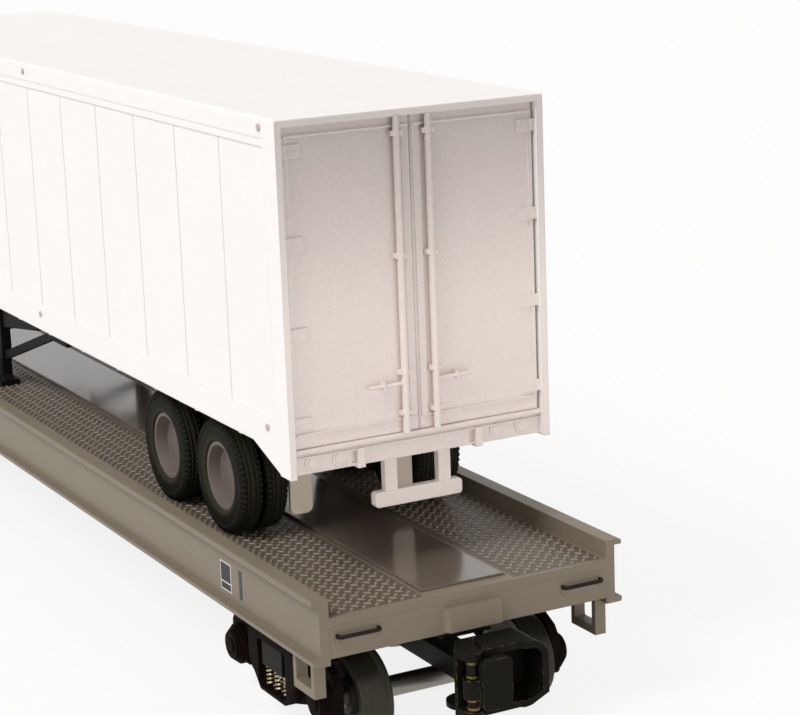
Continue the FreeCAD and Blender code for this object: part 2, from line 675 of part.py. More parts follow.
def cut(label, base, tool):
    """Take a tool away from a base."""
    result = doc.addObject("Part::Cut", label)
    result.Base = base
    result.Tool = tool
    return result


def group(label, pieces):
    """Keep pieces that don't touch together as one node."""
    bundle = doc.addObject("Part::Compound", label)
    bundle.Links = pieces
    return bundle


def keep(label, thing):
    """Name a finished sub-part, which is then written to its own file."""
    thing.Label = label
    nodes.append((label, thing))
    return thing


def place(thing, x, y=0.0, z=0.0, half_turn=False):
    """Set a finished sub-part down in the car, turned end for end if asked."""
    turn = 180.0 if half_turn else 0.0
    thing.Placement.Rotation = FreeCAD.Rotation(FreeCAD.Vector(0, 0, 1), turn)
    bind(thing, "Placement.Base.x", x)
    bind(thing, "Placement.Base.y", y)
    bind(thing, "Placement.Base.z", z)
    return thing


# Flatcar body.


def make_car_body():
    """Deck plate and the two side sills, one moulding with open channels outward."""
    body = new_body("car_body")
    sill = [
        (WEB_INNER, DECK_UNDER), (WEB_INNER, SILL_BOTTOM), (HALF_WIDTH, SILL_BOTTOM, d.flange_round),
        (HALF_WIDTH, SILL_TOP, d.flange_round), (WEB_INNER, SILL_TOP), (WEB_INNER, DECK),
    ]
    slab(body, "YZ_Plane", 0.0, both_halves(sill), d.body_length, both_ways=True)
    opening = rectangle(-HALF_LENGTH, HALF_LENGTH, SILL_BOTTOM + d.flange_thick, SILL_TOP - d.flange_thick)
    carve(body, "XZ_Plane", -HALF_WIDTH, opening, d.flange_reach, reverse=True)
    carve(body, "XZ_Plane", HALF_WIDTH, opening, d.flange_reach)
    reach = HALF_LENGTH - d.strip_inset + d.strip_groove
    for hand in SIDES.values():
        groove = rectangle(-reach, reach, d.strip_half * hand, (d.strip_half + d.strip_groove) * hand)
        carve(body, "XY_Plane", DECK, groove, d.strip_rise)
    keep("car_body", body)


def make_deck_strip():
    """Smooth raised strip along the middle of the deck, with bevelled edges."""
    body = new_body("deck_strip")
    top = DECK + d.strip_rise
    half = [(d.strip_half, DECK), (d.strip_half, top - d.strip_bevel), (d.strip_half - d.strip_bevel, top)]
    slab(body, "YZ_Plane", 0.0, both_halves(half), (HALF_LENGTH - d.strip_inset) * 2, both_ways=True)
    keep("deck_strip", body)


def make_end_sill(end, sign):
    """End sill with the striker block over the coupler and the bosses under the grab irons."""
    body = new_body("end_sill_" + end)
    inner = HALF_LENGTH - d.end_sill_thick
    beam = rectangle(-WEB_INNER, WEB_INNER, HEAD_HIGH + d.sill_play, DECK_UNDER)
    slab(body, "YZ_Plane", inner, beam, d.end_sill_thick)
    front = HALF_LENGTH + d.striker_proud
    low = HEAD_HIGH + d.striker_play
    half = [(d.striker_half, inner), (d.striker_half, HALF_LENGTH), (d.striker_half - d.striker_draft, front)]
    striker = [(x, y) for y, x in both_halves(half)]
    slab(body, "XY_Plane", low, striker, DECK_UNDER - d.striker_drop - low)
    bosses = new_sketch(body, "YZ_Plane", HALF_LENGTH)
    for hand in SIDES.values():
        for leg in (GRAB_INNER, GRAB_OUTER):
            add_circle(bosses, leg * hand, GRAB_Z - d.boss_drop, d.boss_radius)
    pad(body, bosses, d.boss_proud)
    place(body, 0.0, half_turn=sign < 0)
    keep("end_sill_" + end, body)


def make_stirrups(end, sign):
    """Two step loops under the side sills at one end."""
    loops = []
    x_high = HALF_LENGTH - d.end_sill_thick - d.stirrup_play
    x_low = x_high - d.stirrup_length
    low = SILL_BOTTOM - d.stirrup_drop
    foot = low + d.stirrup_foot
    bar = d.stirrup_bar
    for side, hand in SIDES.items():
        body = new_body("stirrup_%s_%s" % (end, side))
        sketch = new_sketch(body, "XZ_Plane", -WEB_OUTER * hand)
        add_loop(sketch, [
            (x_low, low), (x_high, low), (x_high, SILL_BOTTOM), (x_high - bar, SILL_BOTTOM),
            (x_high - bar, foot, d.stirrup_round), (x_low + bar, foot, d.stirrup_round),
            (x_low + bar, SILL_BOTTOM), (x_low, SILL_BOTTOM),
        ])
        pad(body, sketch, d.stirrup_wide, reverse=hand < 0)
        loops.append(body)
    steps = group("stirrups_" + end, loops)
    place(steps, 0.0, half_turn=sign < 0)
    keep("stirrups_" + end, steps)


def make_grab_irons(end, sign):
    """Two wire grab irons on the end sill, each one bent wire with round corners."""
    z = number(GRAB_Z)
    wire, bend = number(d.grab_wire), number(d.grab_bend)
    face, front = number(HALF_LENGTH), number(HALF_LENGTH + d.grab_reach - d.grab_wire)
    low, high = number(GRAB_INNER), number(GRAB_OUTER)
    sag = bend * (1.0 - HALF_DIAGONAL)
    path = Part.Wire([
        Part.LineSegment(point(face, low, z), point(front - bend, low, z)).toShape(),
        Part.Arc(point(front - bend, low, z), point(front - sag, low + sag, z),
                 point(front, low + bend, z)).toShape(),
        Part.LineSegment(point(front, low + bend, z), point(front, high - bend, z)).toShape(),
        Part.Arc(point(front, high - bend, z), point(front - sag, high - sag, z),
                 point(front - bend, high, z)).toShape(),
        Part.LineSegment(point(front - bend, high, z), point(face, high, z)).toShape(),
    ])
    circle = Part.Wire([Part.Circle(point(face, low, z), point(1, 0, 0), wire).toShape()])
    iron = path.makePipeShell([circle], True, True)
    shapes = {"left": iron, "right": iron.mirror(point(0, 0, 0), point(0, 1, 0))}
    irons = []
    for side, shape in shapes.items():
        feature = doc.addObject("Part::Feature", "grab_%s_%s" % (end, side))
        feature.Shape = shape
        irons.append(feature)
    bundle = group("grab_irons_" + end, irons)
    place(bundle, 0.0, half_turn=sign < 0)
    keep("grab_irons_" + end, bundle)


def make_underframe():
    """Fish-bellied centre sill, open below at mid car, with the two body bolsters, one casting."""
    body = new_body("centre_sill")
    low, high = DECK_UNDER - d.spine_depth, DECK_UNDER - d.spine_shallow
    reach = HALF_LENGTH - d.end_sill_thick
    knee = d.spine_flat + d.spine_slope
    belly = [
        (-d.spine_flat, low), (d.spine_flat, low), (knee, high), (reach, high),
        (reach, DECK_UNDER), (-reach, DECK_UNDER), (-reach, high), (-knee, high),
    ]
    slab(body, "XZ_Plane", 0.0, belly, d.spine_half * 2, both_ways=True)
    hollow = d.spine_half - d.spine_wall
    trough = rectangle(-d.spine_flat, d.spine_flat, -hollow, hollow)
    carve(body, "XY_Plane", low, trough, d.spine_depth - d.spine_wall, reverse=True)
    pieces = [body]
    plate_low = TRUCK_TOP + d.plate_play
    for end, sign in TRUCK_ENDS.items():
        bolster = new_body("body_bolster_" + end)
        half = [
            (d.plate_radius, DECK_UNDER - d.bolster_depth), (WEB_INNER, DECK_UNDER - d.bearer_tip),
            (WEB_INNER, DECK_UNDER),
        ]
        start = TRUCK_X * sign - d.bolster_wide / 2
        slab(bolster, "YZ_Plane", start, both_halves(half), d.bolster_wide)
        plate = rod("body_plate_" + end, "z", (TRUCK_X * sign, 0.0, plate_low), d.plate_radius,
                    DECK_UNDER - plate_low)
        pieces.extend([bolster, plate])
    solid = fuse("underframe_solid", pieces)
    bores = [rod("pivot_bore_" + end, "z", (TRUCK_X * sign, 0.0, TRUCK_LOW), d.pivot_radius,
                 DECK_UNDER - TRUCK_LOW - d.pivot_cover)
             for end, sign in TRUCK_ENDS.items()]
    keep("underframe", cut("underframe", solid, group("pivot_bores", bores)))


def make_cross_bearers():
    """Tapered cross bearers from the centre sill out to the side sills."""
    arms = []
    for index in range(BEARER_COUNT):
        middle = d.bearer_pitch * (index - (BEARER_COUNT - 1) / 2)
        for side, hand in SIDES.items():
            arm = new_body("bearer_%s_%d" % (side, index))
            slab(arm, "YZ_Plane", middle - d.bearer_thick / 2, [
                (d.spine_half * hand, DECK_UNDER - d.bearer_root),
                (WEB_INNER * hand, DECK_UNDER - d.bearer_tip),
                (WEB_INNER * hand, DECK_UNDER), (d.spine_half * hand, DECK_UNDER),
            ], d.bearer_thick)
            arms.append(arm)
    keep("cross_bearers", group("cross_bearers", arms))


def make_pivot_screw(end, sign):
    """Shoulder screw that holds a truck to the body bolster."""
    under = TRUCK_LOW - d.pivot_play
    head = rod("pivot_head_" + end, "z", (0.0, 0.0, under - d.pivot_head_thick), d.pivot_head,
               d.pivot_head_thick)
    stem = rod("pivot_stem_" + end, "z", (0.0, 0.0, under), d.pivot_radius,
               DECK_UNDER - d.pivot_cover - under)
    screw = fuse("pivot_screw_" + end, [head, stem])
    place(screw, TRUCK_X * sign)
    keep("pivot_screw_" + end, screw)


def make_brake_gear():
    """Brake cylinder and air reservoir beside the centre sill, each hung by a strap."""
    axis_z = DECK_UNDER - d.brake_radius - d.brake_drop
    pieces = []
    for name, hand, low, long in (
        ("brake_cylinder", 1, d.brake_x, d.cylinder_long),
        ("air_tank", -1, -d.brake_x - d.tank_long, d.tank_long),
    ):
        side = d.brake_side * hand
        drum = rod(name + "_drum", "x", (low, side, axis_z), d.brake_radius, long)
        strap = block(name + "_strap", low + d.strap_inset, low + d.strap_inset + d.strap_wide,
                      side - d.brake_radius / 2, side + d.brake_radius / 2, axis_z, DECK_UNDER)
        pieces.append(fuse(name, [drum, strap]))
    keep("brake_gear", group("brake_gear", pieces))


# Trucks, built about their own pivot with the coupler toward +X.


def frame_outline():
    """Outer edge of a truck side frame, from the bottom middle round to the top middle."""
    axle = d.wheel_base / 2
    near, far = axle - d.box_half, axle + d.box_half
    return [
        (d.basket_half, AXLE_Z - d.frame_drop),
        (near, AXLE_Z - d.box_drop + d.rib_wide * 2), (near + d.rib_wide, AXLE_Z - d.box_drop),
        (far - d.rib_wide, AXLE_Z - d.box_drop), (far, AXLE_Z - d.box_drop + d.rib_wide),
        (far, AXLE_Z + d.box_half), (far - d.rib_wide * 2, AXLE_Z + d.box_half * 1.5),
        (axle - d.rib_wide * 2, TRUCK_TOP),
    ]


def window_outline():
    """Spring window, with wide bends below and small ones above."""
    half = d.window_half
    return [
        (-half, WINDOW_LOW, d.window_bend), (half, WINDOW_LOW, d.window_bend),
        (half, WINDOW_HIGH, d.window_round), (-half, WINDOW_HIGH, d.window_round),
    ]


def make_side_frame(end, sign, side, hand):
    """Cast side frame: a plate with openings, the spring basket between columns and bearing barrels."""
    label = "side_frame_%s_%s" % (end, side)
    body = new_body(label)
    axle = d.wheel_base / 2
    sketch = new_sketch(body, "XZ_Plane")
    add_loop(sketch, both_halves(frame_outline()))
    add_loop(sketch, window_outline())
    for way in (1, -1):
        add_loop(sketch, [
            (d.gap_near * way, AXLE_Z - d.rib_wide * 2), (d.gap_far * way, AXLE_Z - d.rib_wide),
            (d.gap_far * way, AXLE_Z + d.box_half), (d.gap_near * way, WINDOW_HIGH),
        ])
    pad(body, sketch, d.frame_thick, reverse=True)
    basket = new_sketch(body, "XZ_Plane", -d.frame_thick)
    add_loop(basket, both_halves([
        (d.basket_half, AXLE_Z - d.frame_drop), (d.column_far, AXLE_Z + d.column_low),
        (d.column_far, WINDOW_HIGH), (d.column_far - d.rib_wide * 2, TRUCK_TOP - d.rib_wide),
    ]))
    add_loop(basket, window_outline())
    pad(body, basket, d.basket_proud, reverse=True)
    steps = [(d.barrel_radius - d.barrel_step * index, d.barrel_first + d.barrel_rise * index)
             for index in range(BARREL_STEPS)]
    for radius, proud in steps + [(d.hub_cap, steps[-1][1] + d.hub_cap_proud)]:
        caps = new_sketch(body, "XZ_Plane", -d.frame_thick)
        for way in (1, -1):
            add_circle(caps, axle * way, AXLE_Z, radius)
        pad(body, caps, proud, reverse=True)
    bores = new_sketch(body, "XZ_Plane")
    for way in (1, -1):
        add_circle(bores, axle * way, AXLE_Z, d.journal_radius + d.bearing_play)
    pocket(body, bores, d.frame_thick + d.journal_reach * 1.5)
    body.Placement.Rotation = FreeCAD.Rotation(FreeCAD.Vector(0, 0, 1), 0.0 if hand > 0 else 180.0)
    bind(body, "Placement.Base.x", TRUCK_X * sign)
    bind(body, "Placement.Base.y", d.frame_inner * hand)
    keep(label, body)


def make_truck_beam(end, sign):
    """Truck bolster with the centre plate, whose hollow ends show in the spring windows."""
    body = new_body("truck_bolster_" + end)
    half = [
        (d.plate_radius, TRUCK_LOW), (d.frame_inner, TRUCK_LOW + d.rib_wide),
        (d.frame_inner, TRUCK_TOP - d.rib_wide * 2), (d.plate_radius + d.rib_wide, TRUCK_TOP),
    ]
    slab(body, "YZ_Plane", 0.0, both_halves(half), d.truck_beam_half * 2, both_ways=True)
    tip = FRAME_OUTER + d.beam_end_proud
    ends = rectangle(-d.beam_end_half, d.beam_end_half, BEAM_END_LOW, BEAM_END_HIGH)
    slab(body, "XZ_Plane", 0.0, ends, tip * 2, both_ways=True)
    rim = d.beam_end_rim
    for hand in SIDES.values():
        hollows = new_sketch(body, "XZ_Plane", -tip * hand)
        for way in (1, -1):
            add_loop(hollows, rectangle(rim / 2 * way, (d.beam_end_half - rim) * way,
                                        BEAM_END_LOW + rim, BEAM_END_HIGH - rim))
        pocket(body, hollows, d.beam_end_deep, reverse=hand < 0)
    under = d.frame_inner - d.rib_wide
    lowered = rectangle(-d.truck_beam_half, d.truck_beam_half, -under, under)
    carve(body, "XY_Plane", BEAM_END_LOW, lowered, TRUCK_LOW - BEAM_END_LOW, reverse=True)
    hole = new_sketch(body, "XY_Plane", TRUCK_LOW)
    add_circle(hole, 0.0, 0.0, d.pivot_radius + d.pivot_play)
    pocket(body, hole, TRUCK_TOP - TRUCK_LOW, reverse=True)
    place(body, TRUCK_X * sign, half_turn=sign < 0)
    keep("truck_bolster_" + end, body)


def make_springs(end, sign):
    """Coil springs in the spring windows of a truck, three a side, as stacked turns."""
    coils = []
    pitch = (BEAM_END_LOW - WINDOW_LOW) / COIL_TURNS
    for side, hand in SIDES.items():
        for index, along in enumerate((-1, 0, 1)):
            body = new_body("coil_%s_%s_%d" % (end, side, index))
            points = [(0.0, WINDOW_LOW), (d.coil_neck, WINDOW_LOW)]
            for turn in range(COIL_TURNS):
                base = WINDOW_LOW + pitch * turn
                points.append((d.coil_radius, base + pitch / 2))
                points.append((d.coil_neck, base + pitch))
            points.append((0.0, BEAM_END_LOW))
            revolve(body, points, "V_Axis")
            bind(body, "Placement.Base.x", d.coil_pitch * along)
            bind(body, "Placement.Base.y", d.coil_side * hand)
            coils.append(body)
    bundle = group("springs_" + end, coils)
    place(bundle, TRUCK_X * sign, half_turn=sign < 0)
    keep("springs_" + end, bundle)


def make_coupler(end, sign):
    """Coupler head on its shank: a mouth open to the front, the guard arm and two thin pin lugs."""
    body = new_body("coupler_" + end)
    x, y = d.hinge_x, d.hinge_y
    lug, wall = d.lug_radius, d.head_plate
    side, tip = y + d.head_side, d.head_reach
    section = [
        (side, HEAD_LOW), (d.slant_from, HEAD_LOW), (d.guard_side, HEAD_LOW + d.slant_rise),
        (d.guard_side, HEAD_HIGH, d.head_round), (side, HEAD_HIGH),
    ]
    slab(body, "YZ_Plane", d.head_back, section, tip - d.head_back)
    cheek = [
        (d.head_back, y + lug / 4), (x - lug * 1.7, y - lug * 1.33), (x, y - lug), (x, side + wall / 2),
        (d.head_back, side + wall / 2),
    ]
    slab(body, "XY_Plane", HEAD_LOW, cheek, d.head_tall)
    lugs = new_sketch(body, "XY_Plane", HEAD_LOW)
    add_circle(lugs, x, y, lug)
    pad(body, lugs, d.head_tall)
    slot = rectangle(x - d.hub_radius - d.hub_gap, x + lug * 2, y - lug * 2, side)
    carve(body, "XY_Plane", LUG_LOW, slot, LUG_HIGH - LUG_LOW, reverse=True)
    mouth = [
        (side + wall, HEAD_LOW + wall), (d.slant_from, HEAD_LOW + wall),
        (d.guard_side - wall, HEAD_LOW + wall + d.slant_rise * 0.75),
        (d.guard_side - wall, HEAD_HIGH - wall, d.head_round - wall), (side + wall, HEAD_HIGH - wall),
    ]
    carve(body, "YZ_Plane", d.head_back + wall, mouth, tip - d.head_back, reverse=True)
    lip = tip - d.lip_back
    front = [(lip, side), (tip + wall, side), (tip + wall, d.lip_to), (tip, d.lip_to), (lip, d.lip_from)]
    carve(body, "XY_Plane", HEAD_HIGH, front, d.head_tall)
    crease = d.crease_wide / 2
    near, far = y + lug * 1.94, y + lug * 1.2
    groove = [
        (d.head_back + crease * 2, near - crease), (x, far - crease), (x, far + crease),
        (d.head_back + crease * 2, near + crease),
    ]
    carve(body, "XY_Plane", HEAD_HIGH, groove, d.crease_deep)
    shank = rectangle(d.truck_beam_half, d.head_back + wall, -d.shank_half, d.shank_half)
    slab(body, "XY_Plane", SHANK_LOW, shank, d.shank_tall)
    hole = new_sketch(body, "XY_Plane", HEAD_LOW)
    add_circle(hole, x, y, d.pin_radius)
    pocket(body, hole, d.head_tall - d.pin_cover, reverse=True)
    place(body, TRUCK_X * sign, half_turn=sign < 0)
    keep("coupler_" + end, body)


def make_pin(end, sign):
    """Turned pin of the knuckle, with a shoulder above and below the hub."""
    body = new_body("pin_turned_" + end)
    top = HEAD_HIGH - d.pin_cover
    slim, wide = d.pin_radius, d.pin_shoulder
    revolve(body, [
        (0.0, HEAD_LOW), (slim, HEAD_LOW), (slim, LUG_LOW), (wide, LUG_LOW), (wide, HUB_LOW - d.hub_play),
        (slim, HUB_LOW - d.hub_play), (slim, HUB_HIGH + d.hub_play), (wide, HUB_HIGH + d.hub_play),
        (wide, LUG_HIGH), (slim, LUG_HIGH), (slim, top), (0.0, top),
    ], "V_Axis")
    bind(body, "Placement.Base.x", d.hinge_x)
    bind(body, "Placement.Base.y", d.hinge_y)
    whole = group("knuckle_pin_" + end, [body])
    place(whole, TRUCK_X * sign, half_turn=sign < 0)
    keep("knuckle_pin_" + end, whole)


def make_knuckle(end, sign):
    """Swinging jaw of the coupler: a low hub, a web and a tall rounded face with a hook behind it."""
    body = new_body("knuckle_" + end)
    x, y = d.hinge_x, d.hinge_y
    thick = d.nose_thick
    face = x + d.nose_reach
    back = face - thick
    hub = new_sketch(body, "XY_Plane", HUB_LOW)
    add_circle(hub, x, y, d.hub_radius)
    pad(body, hub, d.hub_tall)
    slab(body, "XY_Plane", HUB_LOW, [
        (x, y - d.hub_radius), (back + thick / 2, d.nose_start + thick / 4),
        (back + thick / 2, d.nose_start + thick * 1.5), (x, y + d.hub_radius),
    ], d.hub_tall)
    plate = rounded(d.nose_start, d.nose_end, NOSE_LOW, NOSE_LOW + d.nose_tall, d.nose_round)
    slab(body, "YZ_Plane", back, plate, thick)
    hook = [
        (face - thick / 3, d.nose_end), (back - d.tail_reach, d.nose_end - d.tail_reach / 7),
        (back - d.tail_reach, d.nose_end - d.tail_reach), (back, d.nose_end - d.tail_reach * 1.2),
        (face - thick / 3, d.nose_end - d.tail_reach * 1.2),
    ]
    slab(body, "XY_Plane", NOSE_LOW + d.nose_round, hook, d.nose_tall - d.nose_round * 2)
    bore = new_sketch(body, "XY_Plane", HUB_LOW)
    add_circle(bore, x, y, d.pin_radius + d.pin_play)
    pocket(body, bore, d.hub_tall, reverse=True)
    place(body, TRUCK_X * sign, half_turn=sign < 0)
    keep("knuckle_" + end, body)


def make_armature(end, sign):
    """Post and disc under the coupler that an uncoupling track pulls down."""
    x = d.head_back - d.arm_back
    top = AXLE_Z - d.disc_drop
    post = rod("armature_post_" + end, "z", (x, 0.0, top), d.arm_radius, SHANK_LOW - top)
    disc = rod("armature_disc_" + end, "z", (x, 0.0, top - d.disc_thick), d.disc_radius, d.disc_thick)
    whole = fuse("armature_" + end, [post, disc])
    place(whole, TRUCK_X * sign, half_turn=sign < 0)
    keep("armature_" + end, whole)


def wheel_profile(hand):
    """Section of a rail wheel from bore to flange and tread, as (y, radius)."""
    back = d.back_half
    face = d.back_half + d.wheel_wide
    tread, lip = d.tread_radius, d.tread_radius + d.rail_flange
    third = d.rail_flange / 3
    points = [
        (back - third, d.axle_radius), (back - third, d.axle_radius + third * 4),
        (back + third, d.axle_radius + third * 5), (back + third, tread - third * 4),
        (back, tread - third * 3), (back, lip - third), (back + third, lip), (back + third * 2, lip),
        (back + third * 3.5, tread + third / 2), (face, tread - third / 2),
        (face, tread - third * 3.5), (face - third * 3, tread - third * 4.5),
        (face - third * 4.5, d.axle_radius + third * 4), (face - third, d.axle_radius + third * 3),
        (face - third, d.axle_radius),
    ]
    return [(y * hand, radius) for y, radius in points]


def make_wheelset(name, x):
    """Rail axle with its two pressed-on wheels."""
    wheels = []
    for side, hand in SIDES.items():
        body = new_body("wheel_%s_%s" % (name, side))
        revolve(body, wheel_profile(hand))
        wheels.append(body)
    pair = group("wheels_" + name, wheels)
    place(pair, x, 0.0, AXLE_Z)
    keep("wheels_" + name, pair)
    axle = new_body("axle_" + name)
    seat = d.back_half + d.wheel_wide
    tip = FRAME_OUTER + d.journal_reach
    revolve(axle, [
        (-tip, 0.0), (-tip, d.journal_radius), (-seat, d.journal_radius), (-seat, d.axle_radius),
        (seat, d.axle_radius), (seat, d.journal_radius), (tip, d.journal_radius), (tip, 0.0),
    ])
    place(axle, x, 0.0, AXLE_Z)
    keep("axle_" + name, axle)


# Road trailer.


def soften_roof(body, feature):
    """Round the edges that run round the roof."""
    doc.recompute()
    top = number(VAN_TOP)
    names = ["Edge%d" % index for index, edge in enumerate(feature.Shape.Edges, start=1)
             if all(abs(corner.Z - top) < 1e-4 for corner in edge.Vertexes)]
    fillet = body.newObject("PartDesign::Fillet", "roof_fillet")
    fillet.Base = (feature, names)
    bind(fillet, "Radius", d.roof_round)


def make_van():
    """Sides, roof and front wall of the trailer, one hollow moulding open behind and below."""
    body = new_body("trailer_body")
    front = -VAN_REAR
    inner = front + d.van_wall
    inner_round = d.van_round - d.van_wall
    outline = [
        (VAN_REAR, -VAN_HALF), (VAN_REAR, VAN_HALF), (front, VAN_HALF, d.van_round),
        (front, -VAN_HALF, d.van_round),
    ]
    shell = slab(body, "XY_Plane", VAN_BOTTOM, outline, d.van_height)
    soften_roof(body, shell)
    low = VAN_BOTTOM - d.tail_drop
    heel = VAN_REAR - d.tail_length
    for hand in SIDES.values():
        tail = [
            (heel - d.tail_slope, VAN_BOTTOM), (heel, low + d.tail_step), (heel, low),
            (VAN_REAR, low), (VAN_REAR, VAN_BOTTOM + d.rail_low / 2),
            (heel - d.tail_slope, VAN_BOTTOM + d.rail_low / 2),
        ]
        slab(body, "XZ_Plane", VAN_HALF if hand < 0 else -VAN_INNER, tail, d.van_wall, reverse=True)
        outer = -VAN_HALF * hand
        panel_high = VAN_TOP - d.rail_high
        panel = rectangle(front + d.van_round, VAN_REAR - d.panel_end, VAN_BOTTOM + d.rail_low, panel_high)
        carve(body, "XZ_Plane", outer, panel, d.rail_proud, reverse=hand > 0)
        line = rectangle(front + d.van_round, VAN_REAR - d.panel_end, VAN_TOP - d.rail_line,
                         VAN_TOP - d.rail_line + d.line_wide)
        carve(body, "XZ_Plane", outer, line, d.line_deep, reverse=hand > 0)
        seam = new_sketch(body, "XZ_Plane", outer)
        start = VAN_REAR - d.seam_first - d.seam_pitch * (SEAM_COUNT - 1)
        add_loop(seam, rectangle(start, start + d.seam_wide, VAN_BOTTOM + d.rail_low, panel_high))
        groove = pocket(body, seam, d.rail_proud + d.seam_deep, reverse=hand > 0)
        repeat(body, groove, seam, "H_Axis", d.seam_pitch * (SEAM_COUNT - 1), SEAM_COUNT)
    inside = [
        (VAN_REAR, -VAN_INNER), (VAN_REAR, VAN_INNER), (inner, VAN_INNER, inner_round),
        (inner, -VAN_INNER, inner_round),
    ]
    carve(body, "XY_Plane", low, inside, VAN_TOP - d.van_header - low, reverse=True)
    hidden = [
        (DOOR_FACE - d.door_thick, -VAN_INNER), (DOOR_FACE - d.door_thick, VAN_INNER),
        (inner, VAN_INNER, inner_round), (inner, -VAN_INNER, inner_round),
    ]
    carve(body, "XY_Plane", low, hidden, VAN_TOP - d.van_roof - low, reverse=True)
    keep("trailer_body", body)


def make_marker_lamps():
    """Small round marker lamps on the trailer's rails."""
    high, low = VAN_TOP - d.marker_high, VAN_BOTTOM + d.marker_low
    spots = [
        (VAN_REAR - d.marker_end, high), (0.0, high), (d.marker_end + d.van_round - VAN_REAR, high),
        (VAN_REAR - d.marker_foot, low), (0.0, low), (d.marker_foot + d.van_round - VAN_REAR, low),
    ]
    lamps = []
    for side, hand in SIDES.items():
        start = VAN_HALF if hand > 0 else -VAN_HALF - d.marker_proud
        for index, (x, z) in enumerate(spots):
            lamps.append(rod("marker_%s_%d" % (side, index), "y", (x, start, z), d.marker_radius,
                             d.marker_proud))
    keep("marker_lamps", group("marker_lamps", lamps))


def make_van_floor():
    """Floor of the trailer with cross members and two chassis rails beneath it."""
    front = -VAN_REAR + d.van_round
    rear = SILL_FACE - d.sill_thick
    pieces = [block("floor_plate", front, rear, -VAN_INNER, VAN_INNER, VAN_UNDER, VAN_UNDER + d.van_floor)]
    nose = -VAN_REAR + d.van_wall
    side = VAN_INNER - d.van_round
    pieces.append(block("floor_nose", nose, front, -side, side, VAN_UNDER, VAN_UNDER + d.van_floor))
    for index in range(CROSS_COUNT):
        x = VAN_REAR - d.seam_first - d.seam_pitch * index
        if index == CROSS_COUNT - 1:
            x = front
        pieces.append(block("cross_member_%d" % index, x, x + d.cross_wide, -VAN_INNER, VAN_INNER,
                            VAN_UNDER - d.cross_deep, VAN_UNDER))
    for side_name, hand in SIDES.items():
        middle = (d.chassis_inner + d.chassis_wide / 2) * hand
        pieces.append(block("chassis_rail_" + side_name, VAN_REAR - d.chassis_front, rear,
                            middle - d.chassis_wide / 2, middle + d.chassis_wide / 2,
                            VAN_UNDER - d.chassis_deep, VAN_UNDER))
    keep("trailer_floor", fuse("trailer_floor", pieces))


def make_door(side, hand):
    """Rear door leaf with its mouldings, edge ribs and four hinges."""
    label = "door_" + side
    body = new_body(label)
    inner, outer = d.door_play / 2, VAN_INNER - d.door_side
    leaf = rectangle(inner * hand, outer * hand, DOOR_LOW, DOOR_HIGH)
    slab(body, "YZ_Plane", DOOR_FACE - d.door_thick, leaf, d.door_thick)
    mould = new_sketch(body, "YZ_Plane", DOOR_FACE)
    foot, head = DOOR_LOW + d.mould_foot, DOOR_HIGH - d.mould_head - d.mould_tall
    for low in (foot, head):
        add_loop(mould, rectangle((inner + d.edge_inset) * hand, (outer - d.edge_inset) * hand,
                                  low, low + d.mould_tall))
    pad(body, mould, d.mould_proud)
    foot = foot + d.mould_tall
    near = inner + d.edge_inset
    slab(body, "YZ_Plane", DOOR_FACE, rectangle(near * hand, (near + d.edge_rib) * hand, foot, head),
         d.edge_proud)
    slab(body, "YZ_Plane", DOOR_FACE, rectangle((outer - d.side_rib) * hand, outer * hand, foot, head),
         d.side_proud)
    low = DOOR_LOW + d.hinge_foot
    span = DOOR_HIGH - d.hinge_high - d.hinge_tall - low
    plate = new_sketch(body, "YZ_Plane", DOOR_FACE)
    far = VAN_INNER - d.door_side * 2
    add_loop(plate, rectangle((far - d.hinge_plate) * hand, far * hand, low, low + d.hinge_tall))
    hinge = pad(body, plate, d.hinge_proud)
    repeat(body, hinge, plate, "V_Axis", span, HINGE_COUNT)
    strap = new_sketch(body, "YZ_Plane", DOOR_FACE)
    strap_low = low + d.hinge_tall - d.strap_tall
    add_loop(strap, rectangle(far * hand, VAN_INNER * hand, strap_low, strap_low + d.strap_tall))
    bar = pad(body, strap, d.strap_proud)
    repeat(body, bar, strap, "V_Axis", span, HINGE_COUNT)
    keep(label, body)


def make_lock_rods():
    """Two lock rods down the doors, with guides, handles and keepers."""
    whole = []
    x = DOOR_FACE + d.mould_proud + d.rod_radius
    low, high = REAR_SILL_TOP, VAN_TOP - d.van_header
    for side, hand in SIDES.items():
        y = d.rod_side * hand
        pieces = [rod("rod_bar_" + side, "z", (x, y, low), d.rod_radius, high - low)]
        for index, share in enumerate(GUIDE_SHARES):
            z = low + (high - low) * share
            pieces.append(block("rod_guide_%s_%d" % (side, index), DOOR_FACE, DOOR_FACE + d.guide_proud,
                                y - d.guide_half, y + d.guide_half, z, z + d.guide_tall))
        z = DOOR_LOW + d.grip_rise
        start = y if hand > 0 else y - d.grip_long
        pieces.append(rod("rod_grip_" + side, "y", (x, start, z), d.grip_radius, d.grip_long))
        middle = y + d.grip_keeper * hand
        pieces.append(block("rod_keeper_" + side, DOOR_FACE, x + d.grip_radius,
                            middle - d.keeper_wide / 2, middle + d.keeper_wide / 2,
                            z - d.keeper_tall / 2, z + d.keeper_tall / 2))
        whole.append(fuse("rod_" + side, pieces))
    keep("lock_rods", group("lock_rods", whole))


